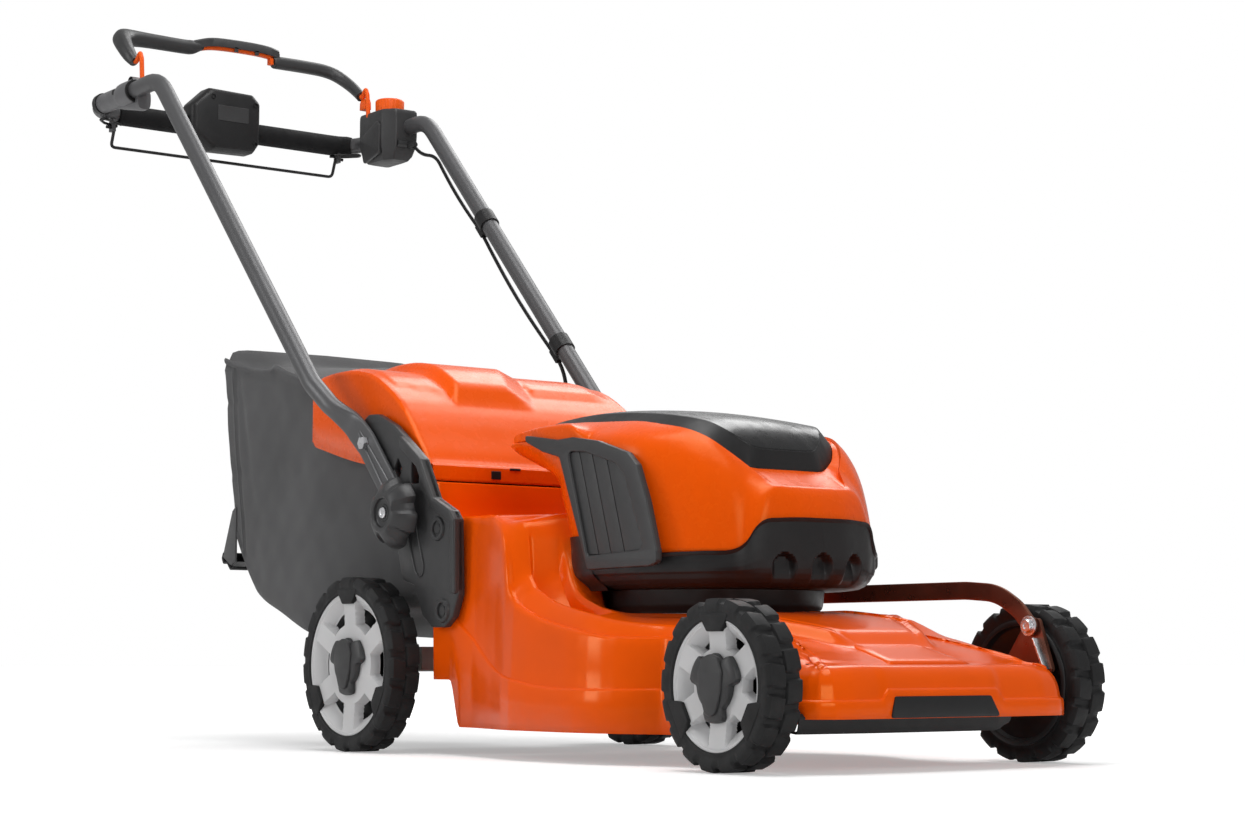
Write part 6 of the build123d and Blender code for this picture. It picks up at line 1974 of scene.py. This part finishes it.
# (x, z) outline of the console
CONSOLE_LINE = [
    (-80, 1046), (-46, 1078), (36, 1076), (50, 1062), (50, 992), (38, 974), (-40, 972), (-80, 1000),
]


def make_console():
    """Chamfered control case on the cross tube, with a paler patch and screws near its corners."""
    front = CROSS_Y - 28.0
    middle = Vector((-15.0, 1024.0))
    rows = []
    for y, inset in CONSOLE_RINGS:
        row = []
        for p in rounded(CONSOLE_LINE, 9.0, 4):
            p = Vector(p)
            q = p + (middle - p).normalized() * inset
            row.append((q.x, CROSS_Y + y, q.y + HANDLE_LIFT))
        rows.append(row)
    case = loft("console_shell", rows)
    recalculate(case)
    piece(case, "black_plastic", "handle", "console_case", angle=28.0)
    patch = box_piece(
        "console_patch", -33, 25, front - 0.8, front + 0.5, 1023 + HANDLE_LIFT, 1049 + HANDLE_LIFT,
    )
    soften(patch, 0.5)
    piece(patch, "dark_plastic", "handle")
    profile = [(front + y, r) for y, r in ((-0.6, 4.6), (-1.4, 4.2), (-1.4, 3.0), (0.8, 2.6), (0.8, 0.3))]
    screws = [turned_y("screw", profile, x, z + HANDLE_LIFT, 18) for x, z in CONSOLE_SCREWS]
    piece(fused("console_screws", *screws), "cable_sheath", "handle")


# Y values of the switch box are given for a bail pivot at 1489.5 mm
BOX_SHIFT = BAIL_PIVOT[0] - 1489.5
BOX_PLAN = [(203, 1516), (203, 1442), (219, 1421), (261, 1419), (263, 1430), (263, 1510), (256, 1517)]
# (z, share of the plan's size) from the top of the box down
BOX_RINGS = (
    (1050, 0.86), (1049, 0.95), (1046, 0.99), (1040, 1.0), (1006, 1.0), (994, 0.985), (982, 0.93),
    (971, 0.84), (964, 0.70), (961.5, 0.52),
)
BOX_PANEL = [(1509, 1006), (1452, 1031), (1444, 1022), (1446, 974), (1494, 962)]


def make_switch_box():
    """Faceted switch housing on the left tube with a raised panel on its inner side."""
    middle = Vector((233.0, 1468.0))
    rows = []
    for z, keep in BOX_RINGS:
        row = []
        for p in rounded(BOX_PLAN, 6.0, 4):
            q = middle + (Vector(p) - middle) * keep
            row.append((q.x, q.y + BOX_SHIFT, z + HANDLE_LIFT))
        rows.append(row)
    case = loft("case", rows)
    recalculate(case)
    outline = [(y + BOX_SHIFT, z + HANDLE_LIFT) for y, z in BOX_PANEL]
    panel = plate("panel", rounded(outline, 5.0, 4), 205.0, 199.2, 2.0)
    relief_at = (1424 + BOX_SHIFT, 990 + HANDLE_LIFT)
    relief = turned_x("relief", [(222, 6.0), (222, 6.5), (240, 6.5), (240, 5.0)], relief_at, 20)
    recalculate(relief)
    path = [
        Vector((TUBE_X, y + BOX_SHIFT, z + HANDLE_LIFT))
        for y, z in ((1424, 988), (1412, 988), (1404, 987))
    ]
    boot = tube("boot", path, [6.5, 6.0, 4.6], 18)
    recalculate(boot)
    whole = joined("switch_housing", case, panel, relief, boot)
    piece(whole, "dark_plastic", "handle", "switch_box", angle=28.0)
    rows = []
    for z, half in ((1058, 6.5), (1070, 6.0), (1076, 4.0), (1078, 1.0)):
        corners = ((-1, -1), (1, -1), (1, 1), (-1, 1))
        rows.append([(208 + half * a, 1503 + 9 * b + BOX_SHIFT, z + HANDLE_LIFT) for a, b in corners])
    stop = loft("bail_stop", rows)
    recalculate(stop)
    soften(stop, 1.0)
    piece(stop, "orange_control", "handle")


# (z from the dial's top face, radius)
DIAL_PROFILE = [
    (-40, 6.0), (-26, 6.0), (-26, 22.5), (-25.4, 24.2), (-3, 24.6), (-1.0, 23.6), (0.2, 22.0),
    (0.6, 19.0), (-0.8, 17.0), (-0.8, 0.5),
]


def make_dial():
    """Speed dial with a ribbed edge and a raised mark."""
    low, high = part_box("speed_dial")
    x = (low.x + high.x) / 2 / MM
    y = ((low.y + high.y) / 2 - AXLE_Y) / MM
    top = high.z / MM - 3.0
    rows = []
    for z, r in DIAL_PROFILE:
        ribbed = 20 < r and -25.8 < z < 0
        row = []
        for k in range(96):
            a = 2 * math.pi * k / 96
            reach = r - 0.5 * (ribbed and k % 4 < 2)
            row.append((x + reach * math.cos(a), y + reach * math.sin(a), top + z))
        rows.append(row)
    dial = loft("orange_dial", rows)
    recalculate(dial)
    mark = box_piece("mark", x - 0.9, x + 0.9, y - 21, y - 8, top - 1.2, top + 0.9)
    whole = joined("ribbed_dial", dial, mark)
    piece(whole, "orange_control", "dial", "speed_dial", angle=30.0)


# Control cable, with the route of the part

# Cable: radius, distance from the tube's middle, places along the tube of its top and clips, deck end
CABLE_R = 3.0
CABLE_DROP = TUBE_R + 8.5
CABLE_TOP_ALONG = 690.0
CLIP_ALONG = (185.0, 490.0)
CABLE_PORT = (230.0, 706.0, 252.0)


def bowed(along, bow):
    """Point of the cable beside the left tube, by its way up the tube and its distance from it."""
    off = CABLE_DROP + bow
    y = TUBE_LOW[0] + along * math.cos(RUN_ANGLE) + off * math.sin(RUN_ANGLE)
    z = TUBE_LOW[1] + along * math.sin(RUN_ANGLE) - off * math.cos(RUN_ANGLE)
    return (TUBE_X, y, z)


def upper_route():
    first, last = CLIP_ALONG
    points = [bowed(lerp(first, last, i / 6), 7.0 * math.sin(math.pi * i / 6)) for i in range(7)]
    points += [
        bowed(lerp(last, CABLE_TOP_ALONG, i / 5), 5.0 * math.sin(math.pi * i / 5))
        for i in range(1, 6)
    ]
    end_y = BAIL_PIVOT[0] - 62.0
    end_z = CROSS_Z - 26.0
    return points + [
        (TUBE_X, end_y - 44.0, end_z - 22.0), (TUBE_X, end_y - 16.0, end_z), (TUBE_X, end_y, end_z),
    ]


def lower_route():
    start, following = upper_route()[:2]
    x, y, z = start
    step = 26.0 / (Vector(following) - Vector(start)).length
    straight = (x, y + (y - following[1]) * step, z + (z - following[2]) * step)
    end = CABLE_PORT
    return [
        start, straight, (x, y - 32.0, z - 64.0), (x, y - 40.0, z - 108.0),
        (x - 1.0, y - 56.0, z - 152.0), (x - 2.0, y - 82.0, z - 196.0), (x - 4.0, y - 116.0, z - 236.0),
        (x - 7.0, y - 156.0, z - 272.0), (x - 11.0, end[1] + 96.0, end[2] + 36.0),
        (end[0] + 1.0, end[1] + 52.0, end[2] + 9.0), (end[0], end[1] + 22.0, end[2]), end,
    ]


def cable_mesh(name, route):
    """Round sheath along a smooth curve through the control points of a route."""
    curve = bpy.data.curves.new(name, "CURVE")
    curve.dimensions = "3D"
    curve.bevel_depth = CABLE_R * MM
    curve.bevel_resolution = 3
    curve.use_fill_caps = True
    curve.resolution_u = 10
    spline = curve.splines.new("NURBS")
    spline.points.add(len(route) - 1)
    for point, place in zip(spline.points, route):
        point.co = (*at(*place), 1.0)
    spline.order_u = 3
    spline.use_endpoint_u = True
    return new_object(name, curve_mesh(name, curve))


def make_cables():
    upper = cable_mesh("clipped_cable", upper_route())
    piece(upper, "cable_sheath", "handle", "cable_upper", angle=60.0)
    lower = cable_mesh("slack_cable", lower_route())
    dress(lower, "cable_sheath", 60.0)
    at(*upper_route()[0])
    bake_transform(lower)
    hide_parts("cable_lower")


make_stage()
make_wheels()
make_deck()
make_tunnel_wall()
make_nose_panel()
make_valance()
make_housing()
make_cup()
make_lid()
make_tray()
make_vents()
make_flap()
make_bag()
for hand, s in HANDS:
    make_bracket(hand, s)
    make_knob(hand, s)
    make_tube(hand, s)
make_rod()
make_crank()
make_foam()
make_sleeve()
make_bail()
make_bail_hooks()
make_trigger()
make_lower_bail()
make_console()
make_switch_box()
make_dial()
make_cables()
